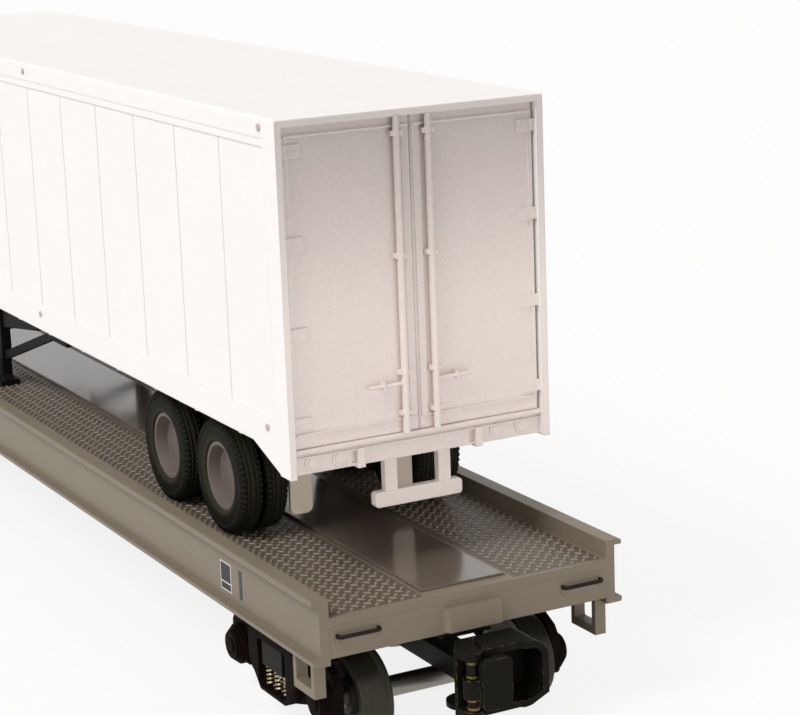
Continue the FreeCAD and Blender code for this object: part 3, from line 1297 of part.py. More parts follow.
def make_rear_sill():
    """Sill under the doors with two ledges, two brackets, two slits and four round tail lamps."""
    back = SILL_FACE - d.sill_thick
    second = REAR_SILL_TOP - d.second_drop
    pieces = [
        block("sill_face", back, SILL_FACE, -VAN_INNER, VAN_INNER, REAR_SILL_LOW, REAR_SILL_TOP),
        block("sill_ledge", back, SILL_FACE + d.ledge_proud, -VAN_INNER, VAN_INNER,
              REAR_SILL_TOP - d.ledge_tall, REAR_SILL_TOP),
        block("sill_second_ledge", back, SILL_FACE + d.second_proud, -VAN_INNER, VAN_INNER,
              second - d.ledge_tall / 2, second),
    ]
    slits = []
    for side, hand in SIDES.items():
        middle = d.bracket_side * hand
        edge = middle - d.bracket_wide / 2
        pieces.append(block("sill_bracket_" + side, back, SILL_FACE + d.bracket_proud, edge,
                            middle + d.bracket_wide / 2, REAR_SILL_LOW - d.bracket_drop, second))
        slits.append(block("sill_slit_" + side, SILL_FACE - d.slit_deep, SILL_FACE, edge - d.slit_wide, edge,
                           REAR_SILL_LOW + d.slit_rise, second - d.ledge_tall / 2))
        for spot, y in (("inner", d.lamp_inner * hand), ("outer", d.lamp_outer * hand)):
            place_at = (back, y, REAR_SILL_LOW + d.lamp_rise)
            name = "tail_lamp_%s_%s" % (side, spot)
            pieces.append(rod(name, "x", place_at, d.lamp_radius, d.sill_thick + d.lamp_proud))
            pieces.append(rod(name + "_lens", "x", place_at, d.lamp_lens,
                              d.sill_thick + d.lamp_proud + d.lens_proud))
    keep("rear_sill", cut("rear_sill", fuse("rear_sill_solid", pieces), group("sill_slits", slits)))


def make_bumper():
    """Low rear bumper bar on two posts."""
    body = new_body("rear_bumper")
    face = VAN_REAR - d.bumper_inset
    low = VAN_BOTTOM - d.bumper_drop
    bar = rounded(-d.bumper_half, d.bumper_half, low, low + d.bumper_tall, d.bumper_round)
    slab(body, "YZ_Plane", face - d.bumper_thick, bar, d.bumper_thick)
    posts = new_sketch(body, "YZ_Plane", face - d.bumper_thick)
    half = d.post_wide / 2
    for hand in SIDES.values():
        middle = d.bumper_post * hand
        add_loop(posts, rectangle(middle - half, middle + half, low + d.bumper_tall / 2, REAR_SILL_LOW))
    pad(body, posts, d.bumper_thick - d.post_recess)
    keep("rear_bumper", body)


def make_mud_flaps():
    """Two narrow mud flaps hung between the rear tyres."""
    flaps = []
    back = VAN_REAR - d.flap_inset
    low = VAN_UNDER - d.flap_long
    for side, hand in SIDES.items():
        body = new_body("mud_flap_" + side)
        slab(body, "YZ_Plane", back - d.flap_thick, [
            (d.flap_inner * hand, low, d.flap_round), (d.flap_outer * hand, low, d.flap_round),
            (d.flap_outer * hand, VAN_UNDER), (d.flap_inner * hand, VAN_UNDER),
        ], d.flap_thick)
        flaps.append(body)
    keep("mud_flaps", group("mud_flaps", flaps))


def trailer_axle_x(index):
    """Place of a trailer axle along the car, the rear one first."""
    return VAN_REAR - d.rear_axle - d.axle_pitch * index


def make_bogie():
    """Trailer suspension: two side plates with axle bearings and a frame between them."""
    rear, front = trailer_axle_x(0), trailer_axle_x(1)
    top = VAN_UNDER - d.chassis_deep
    arch = TYRE_Z + d.hanger_arch
    low = TYRE_Z - d.hanger_drop
    half = d.hanger_half
    plates = []
    for side, hand in SIDES.items():
        body = new_body("bogie_plate_" + side)
        sketch = new_sketch(body, "XZ_Plane", -d.hanger_inner * hand)
        add_loop(sketch, [
            (front - d.hanger_top, top), (front - half * 2, TYRE_Z - half), (front - half, low),
            (front + half, low), (front + half * 2, TYRE_Z), (front + half * 2.5, arch),
            (rear - half * 2.5, arch), (rear - half * 2, TYRE_Z), (rear - half, low),
            (rear + half, low), (rear + half * 2, TYRE_Z - half), (rear + d.hanger_top, top),
        ])
        for x in (front, rear):
            add_circle(sketch, x, TYRE_Z, d.bar_radius + d.bar_play)
        pad(body, sketch, d.hanger_thick, reverse=hand < 0)
        plates.append(body)
    reach = d.hanger_inner
    ties = [block("bogie_tie_%d" % index, x - d.tie_wide / 2, x + d.tie_wide / 2, -reach, reach,
                  top - d.tie_tall, top)
            for index, x in enumerate((front - half * 1.5, (front + rear) / 2, rear + half * 1.5))]
    keep("trailer_bogie", fuse("trailer_bogie", plates + ties))


def twin_tyre_profile(hand):
    """Section of two twin tyres, moulded as one with a groove between them, as (y, radius)."""
    outer, inner = d.dual_half, d.dual_inner
    bulge = d.tyre_radius - d.tyre_shoulder
    outer_tread, inner_tread = outer - d.tyre_wide, inner + d.tyre_wide
    points = [
        (inner, d.rim_radius), (inner + d.tyre_shoulder, d.tyre_radius),
        (inner_tread, d.tyre_radius), ((outer_tread + inner_tread) / 2, d.tyre_radius - d.dual_groove),
        (outer_tread, d.tyre_radius), (outer - d.tyre_shoulder, d.tyre_radius),
        (outer, bulge), (outer, d.rim_radius),
    ]
    return [(y * hand, radius) for y, radius in points]


def rim_profile(hand):
    """Section of the rim that carries two twin tyres, closed by a dished disc, as (y, radius)."""
    lip = d.dual_half - d.rim_inset
    dish = lip - d.rim_dish
    points = [
        (d.dual_inner + d.rim_inset, d.bar_radius), (d.dual_inner + d.rim_inset, d.rim_radius),
        (lip, d.rim_radius), (lip, d.rim_radius - d.rim_lip), (dish, d.rim_radius - d.rim_lip * 2),
        (dish, 0.0), (dish - d.rim_disc, 0.0), (dish - d.rim_disc, d.bar_radius),
    ]
    return [(y * hand, radius) for y, radius in points]


def make_trailer_axle(name, x):
    """Trailer axle with twin tyres on dished rims at both sides."""
    for label, profile in (("tyres_" + name, twin_tyre_profile), ("rims_" + name, rim_profile)):
        pieces = []
        for side, hand in SIDES.items():
            body = new_body("%s_%s" % (label, side))
            revolve(body, profile(hand))
            pieces.append(body)
        bundle = group(label, pieces)
        place(bundle, x, 0.0, TYRE_Z)
        keep(label, bundle)
    half = d.dual_half - d.bar_inset
    bar = rod("road_axle_bar_" + name, "y", (0.0, -half, 0.0), d.bar_radius, half * 2)
    whole = group("road_axle_" + name, [bar])
    place(whole, x, 0.0, TYRE_Z)
    keep("road_axle_" + name, whole)


def make_landing_gear():
    """Two legs on sand shoes, with gussets, long braces, brackets and a cross tie."""
    back = VAN_REAR - d.leg_rear
    front = back - d.leg_long
    taper, spread = d.foot_taper, d.shoe_spread
    knee = DECK + d.foot_tall
    shoe = DECK + d.shoe_thick
    pieces = []
    for side, hand in SIDES.items():
        inner = d.leg_side * hand
        leg = new_body("leg_" + side)
        slab(leg, "XZ_Plane", -inner, [
            (front - spread, DECK), (back + spread, DECK), (back + spread, shoe),
            (back - taper, shoe + spread), (back - taper, knee), (back, knee), (back, VAN_UNDER),
            (front, VAN_UNDER), (front, knee), (front + taper, knee), (front + taper, shoe + spread),
            (front - spread, shoe),
        ], d.leg_thick, reverse=hand > 0)
        pad_low = (d.leg_side - spread) * hand
        slab(leg, "XZ_Plane", -pad_low, rectangle(front - spread, back + spread, DECK, shoe),
             d.leg_thick + spread * 2, reverse=hand > 0)
        middle = (d.leg_side + d.leg_thick / 2) * hand
        brace = new_body("brace_" + side)
        foot = DECK + d.brace_low
        bracket = VAN_UNDER - d.brace_drop
        far = back + d.brace_run
        slab(brace, "XZ_Plane", -middle, [
            (back, foot), (far, bracket), (far + d.bracket_long, bracket),
            (far + d.bracket_long, VAN_UNDER), (far, VAN_UNDER), (far, bracket + d.brace_thick),
            (back, foot + d.brace_thick),
        ], d.brace_wide, both_ways=True)
        gusset = new_body("gusset_" + side)
        seat = VAN_UNDER - d.cross_deep
        slab(gusset, "XZ_Plane", -middle, [
            (back, VAN_UNDER - d.gusset_deep), (back + d.gusset_run, VAN_UNDER - d.gusset_tip),
            (back + d.gusset_run, seat), (back, seat),
        ], d.brace_wide, both_ways=True)
        fore = new_body("fore_brace_" + side)
        tip = front - d.fore_run
        slab(fore, "XZ_Plane", -middle, [
            (front, foot - d.brace_thick / 2), (front, foot + d.brace_thick / 2),
            (tip, VAN_UNDER - d.fore_tip + d.brace_thick), (tip, VAN_UNDER),
            (tip - d.brace_thick * 2, VAN_UNDER), (tip - d.brace_thick * 2, VAN_UNDER - d.fore_tip),
            (tip, VAN_UNDER - d.fore_tip),
        ], d.brace_wide, both_ways=True)
        pieces.extend([leg, brace, gusset, fore])
    tie = DECK + d.leg_tie
    pieces.append(block("leg_tie", front + taper, back - taper, -d.leg_side, d.leg_side,
                        tie, tie + d.brace_thick))
    keep("landing_gear", fuse("landing_gear", pieces))


def make_kingpin():
    """Coupler plate under the trailer's nose with the kingpin."""
    x = d.king_inset - VAN_REAR
    low = VAN_UNDER - d.cross_deep - d.king_plate_thick
    plate = block("king_plate", x - d.king_plate_half, x + d.king_plate_half, -d.king_plate_wide,
                  d.king_plate_wide, low, VAN_UNDER - d.cross_deep)
    pin = rod("king_pin", "z", (x, 0.0, low - d.king_drop), d.king_radius, d.king_drop)
    keep("kingpin_plate", fuse("kingpin_plate", [plate, pin]))


def build():
    """Make every sub-part."""
    make_car_body()
    make_deck_strip()
    make_underframe()
    make_cross_bearers()
    make_brake_gear()
    for end, sign in TRUCK_ENDS.items():
        make_end_sill(end, sign)
        make_stirrups(end, sign)
        make_grab_irons(end, sign)
        make_pivot_screw(end, sign)
        make_truck_beam(end, sign)
        for side, hand in SIDES.items():
            make_side_frame(end, sign, side, hand)
        make_springs(end, sign)
        make_coupler(end, sign)
        make_pin(end, sign)
        make_knuckle(end, sign)
        make_armature(end, sign)
        for index, way in ((1, 1), (2, -1)):
            x = (TRUCK_X + d.wheel_base / 2 * way) * sign
            make_wheelset("%s%d" % (end, index), x)
    make_van()
    make_marker_lamps()
    make_van_floor()
    for side, hand in SIDES.items():
        make_door(side, hand)
    make_lock_rods()
    make_rear_sill()
    make_bumper()
    make_mud_flaps()
    make_bogie()
    make_trailer_axle("rear", trailer_axle_x(0))
    make_trailer_axle("front", trailer_axle_x(1))
    make_landing_gear()
    make_kingpin()


def check_and_write():
    """Stop on any failed object or broken shape, then write one file for each sub-part."""
    doc.recompute()
    for item in doc.Objects:
        if "Invalid" in item.State or "Error" in item.State:
            raise RuntimeError("failed object: " + item.Name)
    os.makedirs("parts", exist_ok=True)
    for label, thing in nodes:
        if thing.Shape.isNull() or not thing.Shape.isValid():
            raise RuntimeError("bad shape: " + label)
        thing.Shape.exportStep("parts/%s.step" % label)
        print(label, len(thing.Shape.Solids), round(thing.Shape.Volume, 2))


build()
check_and_write()
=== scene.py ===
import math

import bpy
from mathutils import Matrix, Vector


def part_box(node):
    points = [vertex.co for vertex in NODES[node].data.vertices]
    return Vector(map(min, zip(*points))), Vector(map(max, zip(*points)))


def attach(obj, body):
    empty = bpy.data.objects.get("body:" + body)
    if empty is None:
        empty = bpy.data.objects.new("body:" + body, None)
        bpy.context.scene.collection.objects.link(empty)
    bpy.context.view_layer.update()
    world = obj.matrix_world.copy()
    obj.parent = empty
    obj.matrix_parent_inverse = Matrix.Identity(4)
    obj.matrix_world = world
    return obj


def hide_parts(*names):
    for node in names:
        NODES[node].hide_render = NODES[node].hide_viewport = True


bl_info = {
    "name": "Flatcar with Road Trailer",
    "version": (1, 0, 0),
    "blender": (4, 5, 0),
    "location": "View3D > Sidebar > Flatcar",
    "description": "Dresses a toy railway flatcar and the road trailer that stands on it",
    "category": "Object",
}

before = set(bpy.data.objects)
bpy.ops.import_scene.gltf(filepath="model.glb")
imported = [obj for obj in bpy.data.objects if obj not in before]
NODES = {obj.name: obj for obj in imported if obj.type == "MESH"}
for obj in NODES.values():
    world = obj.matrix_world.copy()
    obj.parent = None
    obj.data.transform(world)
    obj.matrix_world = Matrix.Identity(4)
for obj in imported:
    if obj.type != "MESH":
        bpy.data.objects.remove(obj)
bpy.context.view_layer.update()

MM = 0.001
ENDS = ("a", "b")
AXLES = ("a1", "a2", "b1", "b2")
ROAD_AXLES = ("rear", "front")

BODY_LOW, BODY_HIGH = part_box("car_body")
STRIP_LOW, STRIP_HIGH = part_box("deck_strip")
DECK_Z = STRIP_LOW.z
SHELL_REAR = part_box("trailer_body")[1].x
TYRES = {name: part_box("tyres_" + name) for name in ROAD_AXLES}

# Where the tread plate ends before the side sill, and how far the sill's web stands in.
TREAD_END = BODY_HIGH.y - 3.4 * MM
WEB_INSET = 1.5 * MM
# How far the grid of lugs is moved along and across the deck.
LUG_SHIFT = (0.2 * MM, 0.9 * MM)
# A lug lies at 45 degrees and reaches this share of its length each way from its middle.
LUG_REACH = 0.36
# Corners of a lug's outline, and its outlines from foot to top as shares of width and height.
LUG_SIDES = 8
LUG_PROFILE = ((1.0, -0.1), (0.9, 0.7), (0.62, 1.0))
# From the outer sidewall of a pair of tyres to the middle of each tyre.
TYRE_MIDDLES = (2.35 * MM, 7.65 * MM)
# Half the length of the patch of deck that a tyre covers, and the width of a pair of tyres.
TYRE_PATCH = 2.4 * MM
PAIR_WIDE = 10.6 * MM
# Steps round a tyre from one shoulder block to the next, half of them in the groove.
BLOCK_STEPS = 4
# Steps in one turn of a spring, and round its wire.
COIL_STEPS = 16
WIRE_SIDES = 8
# Steps round the half-round bead between the doors.
BEAD_STEPS = 6

# Heights of the worn rings above the foot of a knuckle pin.
PIN_RINGS = (1.9 * MM, 3.5 * MM, 7.9 * MM, 10.5 * MM)
# Painted shade darkens the trailer's rear from the first of these heights to the second.
REAR_SHADE_HEIGHTS = (DECK_Z + 42 * MM, DECK_Z + 84 * MM)
# Distances from a wheel's axle at which its look changes.
RAIL_TREAD = (7.4 * MM, 7.8 * MM)
TYRE_BEAD = (8.4 * MM, 7.2 * MM)
TYRE_WALL = (10.3 * MM, 10.0 * MM)
TYRE_SHOULDER = (10.9 * MM, 11.4 * MM)
# Painted shade darkens a rim's recessed dish between these two distances and inward.
RIM_DISH_SHADE = (6.2 * MM, 5.2 * MM)
# A painted highlight marks the step round the dish at this distance.
RIM_STEP_HIGHLIGHT = 4.6 * MM
# Waves per metre, times a full turn, of the fine rings on a tyre's sidewall.
WALL_RINGS = 14000.0

# Where the lights shine from, and where the low one stands.
KEY_WAY = Vector((0.12, -0.62, 0.78))
FILL_WAY = Vector((1.0, 0.1, 0.0))
FILL_PLACE = (0.45, 0.05, 0.07)
# How far the floor reaches each way.
FLOOR_REACH = 3.0


def screen(red, green, blue):
    """Turn a colour as a screen shows it, 0 to 255, into the linear one that shaders use."""
    return tuple(((part / 255 + 0.055) / 1.055) ** 2.4 for part in (red, green, blue))


def colour(name, description, red, green, blue):
    """A colour that a user may change."""
    return bpy.props.FloatVectorProperty(
        name=name, description=description, subtype="COLOR", min=0.0, max=1.0,
        default=screen(red, green, blue))


def length(name, description, value):
    """A length that a user may change, given in millimetres."""
    return bpy.props.FloatProperty(
        name=name, description=description, unit="LENGTH", subtype="DISTANCE", precision=5,
        min=0.0, default=value * MM)


def count(name, description, value):
    """A whole number that a user may change."""
    return bpy.props.IntProperty(name=name, description=description, min=1, default=value)


def strength(name, description, value):
    """A light's strength that a user may change."""
    return bpy.props.FloatProperty(
        name=name, description=description, min=0.0, max=10.0, default=value)


def angle(name, description, degrees):
    """An angle that a user may change."""
    return bpy.props.FloatProperty(
        name=name, description=description, unit="ROTATION", subtype="ANGLE",
        default=math.radians(degrees))


class FlatcarColours(bpy.types.PropertyGroup):
    """Colours of the car and the trailer."""

    car: colour("Car", "Moulded plastic of the deck and sills", 127, 117, 101)
    # Painted shade and dirt: the deck plastic made darker where it lies between the raised lugs.
    deck_shade: colour("Deck", "Plastic between the raised lugs of the tread plate", 93, 83, 73)
    strip: colour("Strip", "Smooth strip along the deck", 106, 95, 85)
    trailer: colour("Trailer", "White moulding of the trailer", 250, 247, 245)
    # Painted shade: the trailer's white made darker and warmer for the rear, which faces away from
    # the key light.
    rear: colour("Trailer rear", "Warmer moulding of the doors and the rear frame", 234, 222, 215)
    flap: colour("Mud flaps", "Warm white moulding of the mud flaps", 240, 226, 210)
    marker: colour("Markers", "Marker lamps on the trailer's rails", 196, 178, 172)
    rim: colour("Rims", "Moulded rims of the trailer's wheels", 106, 96, 89)
    rubber: colour("Tyres", "Rubber of the trailer's tyres", 27, 27, 22)
    chassis: colour("Chassis", "Black moulding under the trailer", 26, 25, 23)
    truck: colour("Trucks", "Castings of the trucks", 26, 20, 17)
    bolster: colour("Bolsters", "Blackened bolsters of the trucks", 27, 26, 22)
    coupler: colour("Couplers", "Blackened metal of the couplers", 26, 25, 21)
    worn_edge: colour("Worn edges", "Bright metal along worn edges", 146, 118, 76)
    wheel: colour("Wheels", "Metal of the rail wheels", 56, 53, 44)
    spring: colour("Springs", "Bright spring wire", 178, 160, 126)
    steel: colour("Steel", "Axles and screws", 150, 146, 138)
    wire: colour("Wire", "Blackened wire of the grab irons", 44, 33, 31)
    placard: colour("Placard", "Blank placard on the side sill", 30, 30, 32)


class FlatcarSizes(bpy.types.PropertyGroup):
    """Sizes of the details that the scene adds."""

    lug_pitch: length("Lug pitch", "Distance between like lugs of the tread plate", 2.54)
    lug_long: length("Lug length", "Length of a lug", 1.75)
    lug_wide: length("Lug width", "Width of a lug", 0.68)
    lug_high: length("Lug height", "Height of a lug above the deck", 0.2)
    lug_border: length("Lug border", "Smooth border round the tread plate", 1.2)
    tyre_blocks: count("Tyre blocks", "Blocks round each shoulder of a tyre", 60)
    tyre_groove: length("Tyre groove", "Depth of the grooves in the tread", 0.42)
    spring_wire: length("Spring wire", "Radius of the spring wire", 0.29)
    spring_radius: length("Spring radius", "Outer radius of a spring", 1.0)
    spring_turns: count("Spring turns", "Turns of each spring", 5)
    placard_wide: length("Placard width", "Width of the blank placard", 4.8)
    placard_high: length("Placard height", "Height of the blank placard", 5.6)
    placard_inset: length("Placard place", "Placard's middle from the end of the car", 39.95)


class FlatcarStage(bpy.types.PropertyGroup):
    """Camera and light."""

    azimuth: angle("Azimuth", "Camera's direction round the car", 62.2292)
    elevation: angle("Elevation", "Camera's height above the horizon", 13.2848)
    roll: angle("Roll", "Camera's turn about its own view", -2.1682)
    lens: bpy.props.FloatProperty(
        name="Lens", description="Focal length", unit="CAMERA", default=104.35)
    place: bpy.props.FloatVectorProperty(
        name="Place", description="Where the camera stands", subtype="TRANSLATION", unit="LENGTH",
        default=(0.48986, -0.19402, 0.16611))
    sky: strength("Sky", "Light from all round", 0.5)
    key: strength("Key", "Strength of the key light", 1.75)
    fill: strength("Fill", "Strength of the low light before the doors", 0.25)


def colours():
    """The colours in use, each as a four-part colour."""
    group = bpy.context.scene.flatcar_colours
    return {name: (*getattr(group, name), 1.0) for name in FlatcarColours.__annotations__}


def sizes():
    """The sizes in use."""
    return bpy.context.scene.flatcar_sizes


class Wire:
    """One output of a shader node, which takes part in sums as a number would."""

    def __init__(self, shader, socket):
        self.shader = shader
        self.socket = socket

    def __add__(self, other):
        return self.shader.maths("ADD", self, other)

    def __radd__(self, other):
        return self.shader.maths("ADD", other, self)

    def __sub__(self, other):
        return self.shader.maths("SUBTRACT", self, other)

    def __rsub__(self, other):
        return self.shader.maths("SUBTRACT", other, self)

    def __mul__(self, other):
        return self.shader.maths("MULTIPLY", self, other)

    def __rmul__(self, other):
        return self.shader.maths("MULTIPLY", other, self)

    def __pow__(self, other):
        return self.shader.maths("POWER", self, other)


class Shader:
    """A node tree that is being filled."""

    def __init__(self, tree):
        self.tree = tree

    def node(self, kind, settings=None, inputs=None, output=0):
        """Add a node, set it up, feed its sockets and return one of its outputs."""
        item = self.tree.nodes.new(kind)
        for name, value in (settings or {}).items():
            setattr(item, name, value)
        for key, value in (inputs or {}).items():
            self.feed(item.inputs[key], value)
        return Wire(self, item.outputs[output])

    def feed(self, socket, value):
        """Link a wire to a socket, or set the socket to a plain value."""
        if isinstance(value, Wire):
            self.tree.links.new(value.socket, socket)
        else:
            socket.default_value = value

    def maths(self, operation, first, second=0.0):
        """One step of arithmetic."""
        return self.node("ShaderNodeMath", {"operation": operation}, {0: first, 1: second})

    def mix(self, factor, first, second):
        """Blend two colours."""
        return self.node(
            "ShaderNodeMix", {"data_type": "RGBA"}, {0: factor, 6: first, 7: second}, 2)

    def ramp(self, value, low, high):
        """Rise smoothly from 0 at low to 1 at high, or fall where high is the smaller."""
        if low > high:
            return 1.0 - self.ramp(value, high, low)
        return self.node(
            "ShaderNodeMapRange", {"interpolation_type": "SMOOTHSTEP"},
            {"Value": value, "From Min": low, "From Max": high})

    def band(self, value, middle, half, soft):
        """1 within half of the middle, and 0 outside, with soft shoulders."""
        away = self.maths("ABSOLUTE", value - middle)
        return self.ramp(away, half + soft, half)

    def place(self):
        """The point of the surface in the object's own frame."""
        return self.node("ShaderNodeTexCoord", output="Object")

    def parts(self, vector):
        """The three parts of a vector."""
        return [self.node("ShaderNodeSeparateXYZ", None, {0: vector}, part) for part in "XYZ"]

    def noise(self, size, detail, stretch=(1.0, 1.0, 1.0), spread=0.5):
        """Noise whose spots are about as large as the size, drawn out by stretch."""
        scale = tuple(1.0 / (size * part) for part in stretch)
        vector = self.node(
            "ShaderNodeVectorMath", {"operation": "MULTIPLY"}, {0: self.place(), 1: scale})
        return self.node(
            "ShaderNodeTexNoise", None,
            {"Vector": vector, "Scale": 1.0, "Detail": detail, "Roughness": spread})

    def rounded(self, radius):
        """The surface's direction with the solid's edges rounded."""
        return self.node("ShaderNodeBevel", {"samples": 4}, {"Radius": radius})

    def edges(self, normal):
        """1 along the solid's edges and 0 on its faces."""
        flat = self.node("ShaderNodeNewGeometry", output="Normal")
        along = self.node(
            "ShaderNodeVectorMath", {"operation": "DOT_PRODUCT"}, {0: normal, 1: flat}, "Value")
        return self.ramp(along, 0.995, 0.8)

    def bump(self, height, depth, amount, normal=None):
        """Raise the surface by a height from 0 to 1, as deep as depth."""
        inputs = {"Height": height, "Distance": depth, "Strength": amount}
        if normal:
            inputs["Normal"] = normal
        return self.node("ShaderNodeBump", None, inputs)


class Finish(Shader):
    """A material with one main surface shader."""

    def __init__(self, name, metallic=0.0, gloss=0.5):
        self.material = bpy.data.materials.new(name)
        self.material.use_nodes = True
        super().__init__(self.material.node_tree)
        self.surface = self.tree.nodes["Principled BSDF"]
        self.surface.inputs["Metallic"].default_value = metallic
        self.surface.inputs["Specular IOR Level"].default_value = gloss

    def look(self, **inputs):
        """Feed the surface's base_color, roughness or normal, and return the material."""
        for name, value in inputs.items():
            self.feed(self.surface.inputs[name.replace("_", " ").title()], value)
        return self.material


def wheel_place(finish, node):
    """Where the surface is about a wheel's axle: forward, across, up and out from it."""
    low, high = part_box(node)
    middle = (low + high) / 2
    x, across, z = finish.parts(finish.place())
    forward = x - middle.x
    up = z - middle.z
    return forward, across, up, (forward ** 2.0 + up ** 2.0) ** 0.5


def scaled(tint, amount):
    """A colour made darker or lighter."""
    return tuple(min(1.0, part * amount) for part in tint[:3]) + (1.0,)


def shaded(finish, tint, amount, size):
    """A colour that varies a little in lightness over patches of a size."""
    return finish.mix(
        finish.noise(size, 3.0), scaled(tint, 1.0 - amount), scaled(tint, 1.0 + amount))


def moulded(name, tint, roughness, soft_edge=0.25 * MM, grain=0.012 * MM, edge_highlight=0.12,
            gloss=0.5, tone=None):
    """Moulded plastic with a fine grain and soft edges that carry a painted highlight, uneven or
    with a tone of its own.
    """
    finish = Finish(name, gloss=gloss)
    normal = finish.rounded(soft_edge)
    body = tone(finish) if tone else shaded(finish, tint, 0.035, 14 * MM)
    fine = finish.noise(0.22 * MM, 2.0)
    # Painted highlight along the rounded edges.
    body = finish.mix(finish.edges(normal) * edge_highlight, body, scaled(tint, 1.35))
    body = finish.mix(finish.ramp(fine, 0.6, 0.78) * 0.3, body, scaled(tint, 0.8))
    rough = roughness + (finish.noise(6 * MM, 3.0) - 0.5) * 0.12
    return finish.look(
        base_color=body, roughness=rough, normal=finish.bump(fine, grain, 0.6, normal))


def cast_metal(name, tint, worn, roughness, metallic, wear, soft_edge=0.2 * MM):
    """Blackened die casting whose edges are worn bright in places."""
    finish = Finish(name, metallic=metallic, gloss=0.06)
    normal = finish.rounded(soft_edge)
    patches = finish.ramp(finish.noise(1.3 * MM, 4.0), 0.47, 0.62)
    edge = finish.edges(normal) * patches * wear
    pits = finish.noise(0.35 * MM, 3.0)
    body = finish.mix(edge, shaded(finish, tint, 0.22, 3 * MM), worn)
    rough = roughness - edge * 0.15 + (pits - 0.5) * 0.2
    return finish.look(
        base_color=body, roughness=rough, normal=finish.bump(pits, 0.03 * MM, 0.6, normal))


def pin_metal(node):
    """The knuckle pin: blackened, with coppery rings where it rubs on the hub and the lugs."""
    tints = colours()
    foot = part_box(node)[0].z
    finish = Finish("metal_" + node, metallic=0.6, gloss=0.1)
    _, _, z = finish.parts(finish.place())
    rings = 0.0
    for rise in PIN_RINGS:
        rings = finish.maths("MAXIMUM", rings, finish.band(z, foot + rise, 0.16 * MM, 0.12 * MM))
    rub = finish.noise(0.6 * MM, 3.0)
    worn = rings * (0.25 + finish.ramp(rub, 0.35, 0.6) * 0.6)
    body = finish.mix(rub, scaled(tints["coupler"], 0.8), scaled(tints["coupler"], 1.6))
    body = finish.mix(worn, body, scaled(tints["worn_edge"], 0.9))
    return finish.look(
        base_color=body,
        roughness=0.4 - rings * 0.1,
        normal=finish.bump(rub, 0.015 * MM, 0.5, finish.rounded(0.12 * MM)))


def plain_steel(name, tint):
    """Drawn steel with fine lines along the car."""
    finish = Finish(name, metallic=1.0)
    lines = finish.noise(0.3 * MM, 3.0, (1.0, 12.0, 1.0))
    return finish.look(
        base_color=finish.mix(lines, scaled(tint, 0.7), tint),
        roughness=0.32 + lines * 0.15,
        normal=finish.bump(lines, 0.01 * MM, 0.5, finish.rounded(0.12 * MM)))


def car_plastic():
    """The car's plastic, darker on the deck between the raised lugs with painted shade and dirt,
    and lighter along its edges with a painted highlight.
    """
    tints = colours()
    finish = Finish("car_plastic", gloss=0.3)
    border = sizes().lug_border
    normal = finish.rounded(0.3 * MM)
    x, y, z = finish.parts(finish.place())
    inner = finish.maths("ABSOLUTE", y)
    tread = (finish.band(x, 0.0, BODY_HIGH.x - border, 0.3 * MM)
             * finish.ramp(inner, STRIP_HIGH.y + border * 0.6, STRIP_HIGH.y + border * 0.9)
             * finish.ramp(inner, TREAD_END - 0.2 * MM, TREAD_END - 0.5 * MM)
             * finish.band(z, DECK_Z, 0.1 * MM, 0.1 * MM))
    body = shaded(finish, tints["car"], 0.045, 16 * MM)
    # Painted highlight: the car plastic made lighter along its rounded edges.
    body = finish.mix(finish.edges(normal) * 0.22, body, scaled(tints["car"], 1.5))
    # Painted shade and dirt darken the deck plate between the lugs.
    body = finish.mix(tread, body, shaded(finish, tints["deck_shade"], 0.25, 0.8 * MM))
    fine = finish.noise(0.25 * MM, 2.0)
    rough = 0.46 + (finish.noise(5 * MM, 3.0) - 0.5) * 0.14
    return finish.look(
        base_color=body, roughness=rough, normal=finish.bump(fine, 0.012 * MM, 0.6, normal))


def shaded_rear_tone(finish):
    """The trailer's white in a darker, warmer painted shade for its rear, with the painted shade
    deepening toward the roof.
    """
    tint = colours()["rear"]
    _, _, z = finish.parts(finish.place())
    # Painted shade: the rear grows darker toward the roof.
    roof_shade = finish.ramp(z, *REAR_SHADE_HEIGHTS)
    low = shaded(finish, tint, 0.12, 0.5 * MM)
    high = shaded(finish, scaled(tint, 0.6), 0.16, 0.5 * MM)
    return finish.mix(roof_shade, low, high)


def shell_tone(finish):
    """The shell's white, which turns to the rear's painted shade on the frame round the doors."""
    x, _, _ = finish.parts(finish.place())
    rear = finish.ramp(x, SHELL_REAR - 0.2 * MM, SHELL_REAR - 0.05 * MM)
    white = shaded(finish, colours()["trailer"], 0.02, 16 * MM)
    return finish.mix(rear * 0.8, white, shaded_rear_tone(finish))


def lug_plastic():
    """The raised lugs, lighter on top with a painted highlight and darker at the foot with painted
    shade.
    """
    tint = colours()["car"]
    finish = Finish("lug_plastic")
    _, _, z = finish.parts(finish.place())
    # Painted highlight on the lugs' tops, painted shade at their feet.
    top = finish.ramp(z, DECK_Z + 0.05 * MM, DECK_Z + 0.19 * MM)
    lit_top_highlight = shaded(finish, scaled(tint, 1.2), 0.14, 1.2 * MM)
    return finish.look(
        base_color=finish.mix(top, scaled(tint, 0.8), lit_top_highlight), roughness=0.5 - top * 0.12)


def strip_plastic():
    """The smooth strip, half glossy, with faint flow lines and wiping marks."""
    tint = colours()["strip"]
    finish = Finish("strip_plastic", gloss=0.6)
    normal = finish.rounded(0.25 * MM)
    flow = finish.noise(5 * MM, 4.0, (4.0, 1.0, 1.0), 0.6)
    swirl = finish.noise(2.2 * MM, 3.0, (1.0, 2.5, 1.0))
    body = finish.mix(flow, scaled(tint, 0.84), scaled(tint, 1.12))
    # Painted highlight along the strip's rounded edges.
    body = finish.mix(finish.edges(normal) * 0.5, body, scaled(tint, 1.8))
    rough = 0.1 + flow * 0.06 + finish.ramp(swirl, 0.5, 0.75) * 0.05
    return finish.look(base_color=body, roughness=rough, normal=normal)


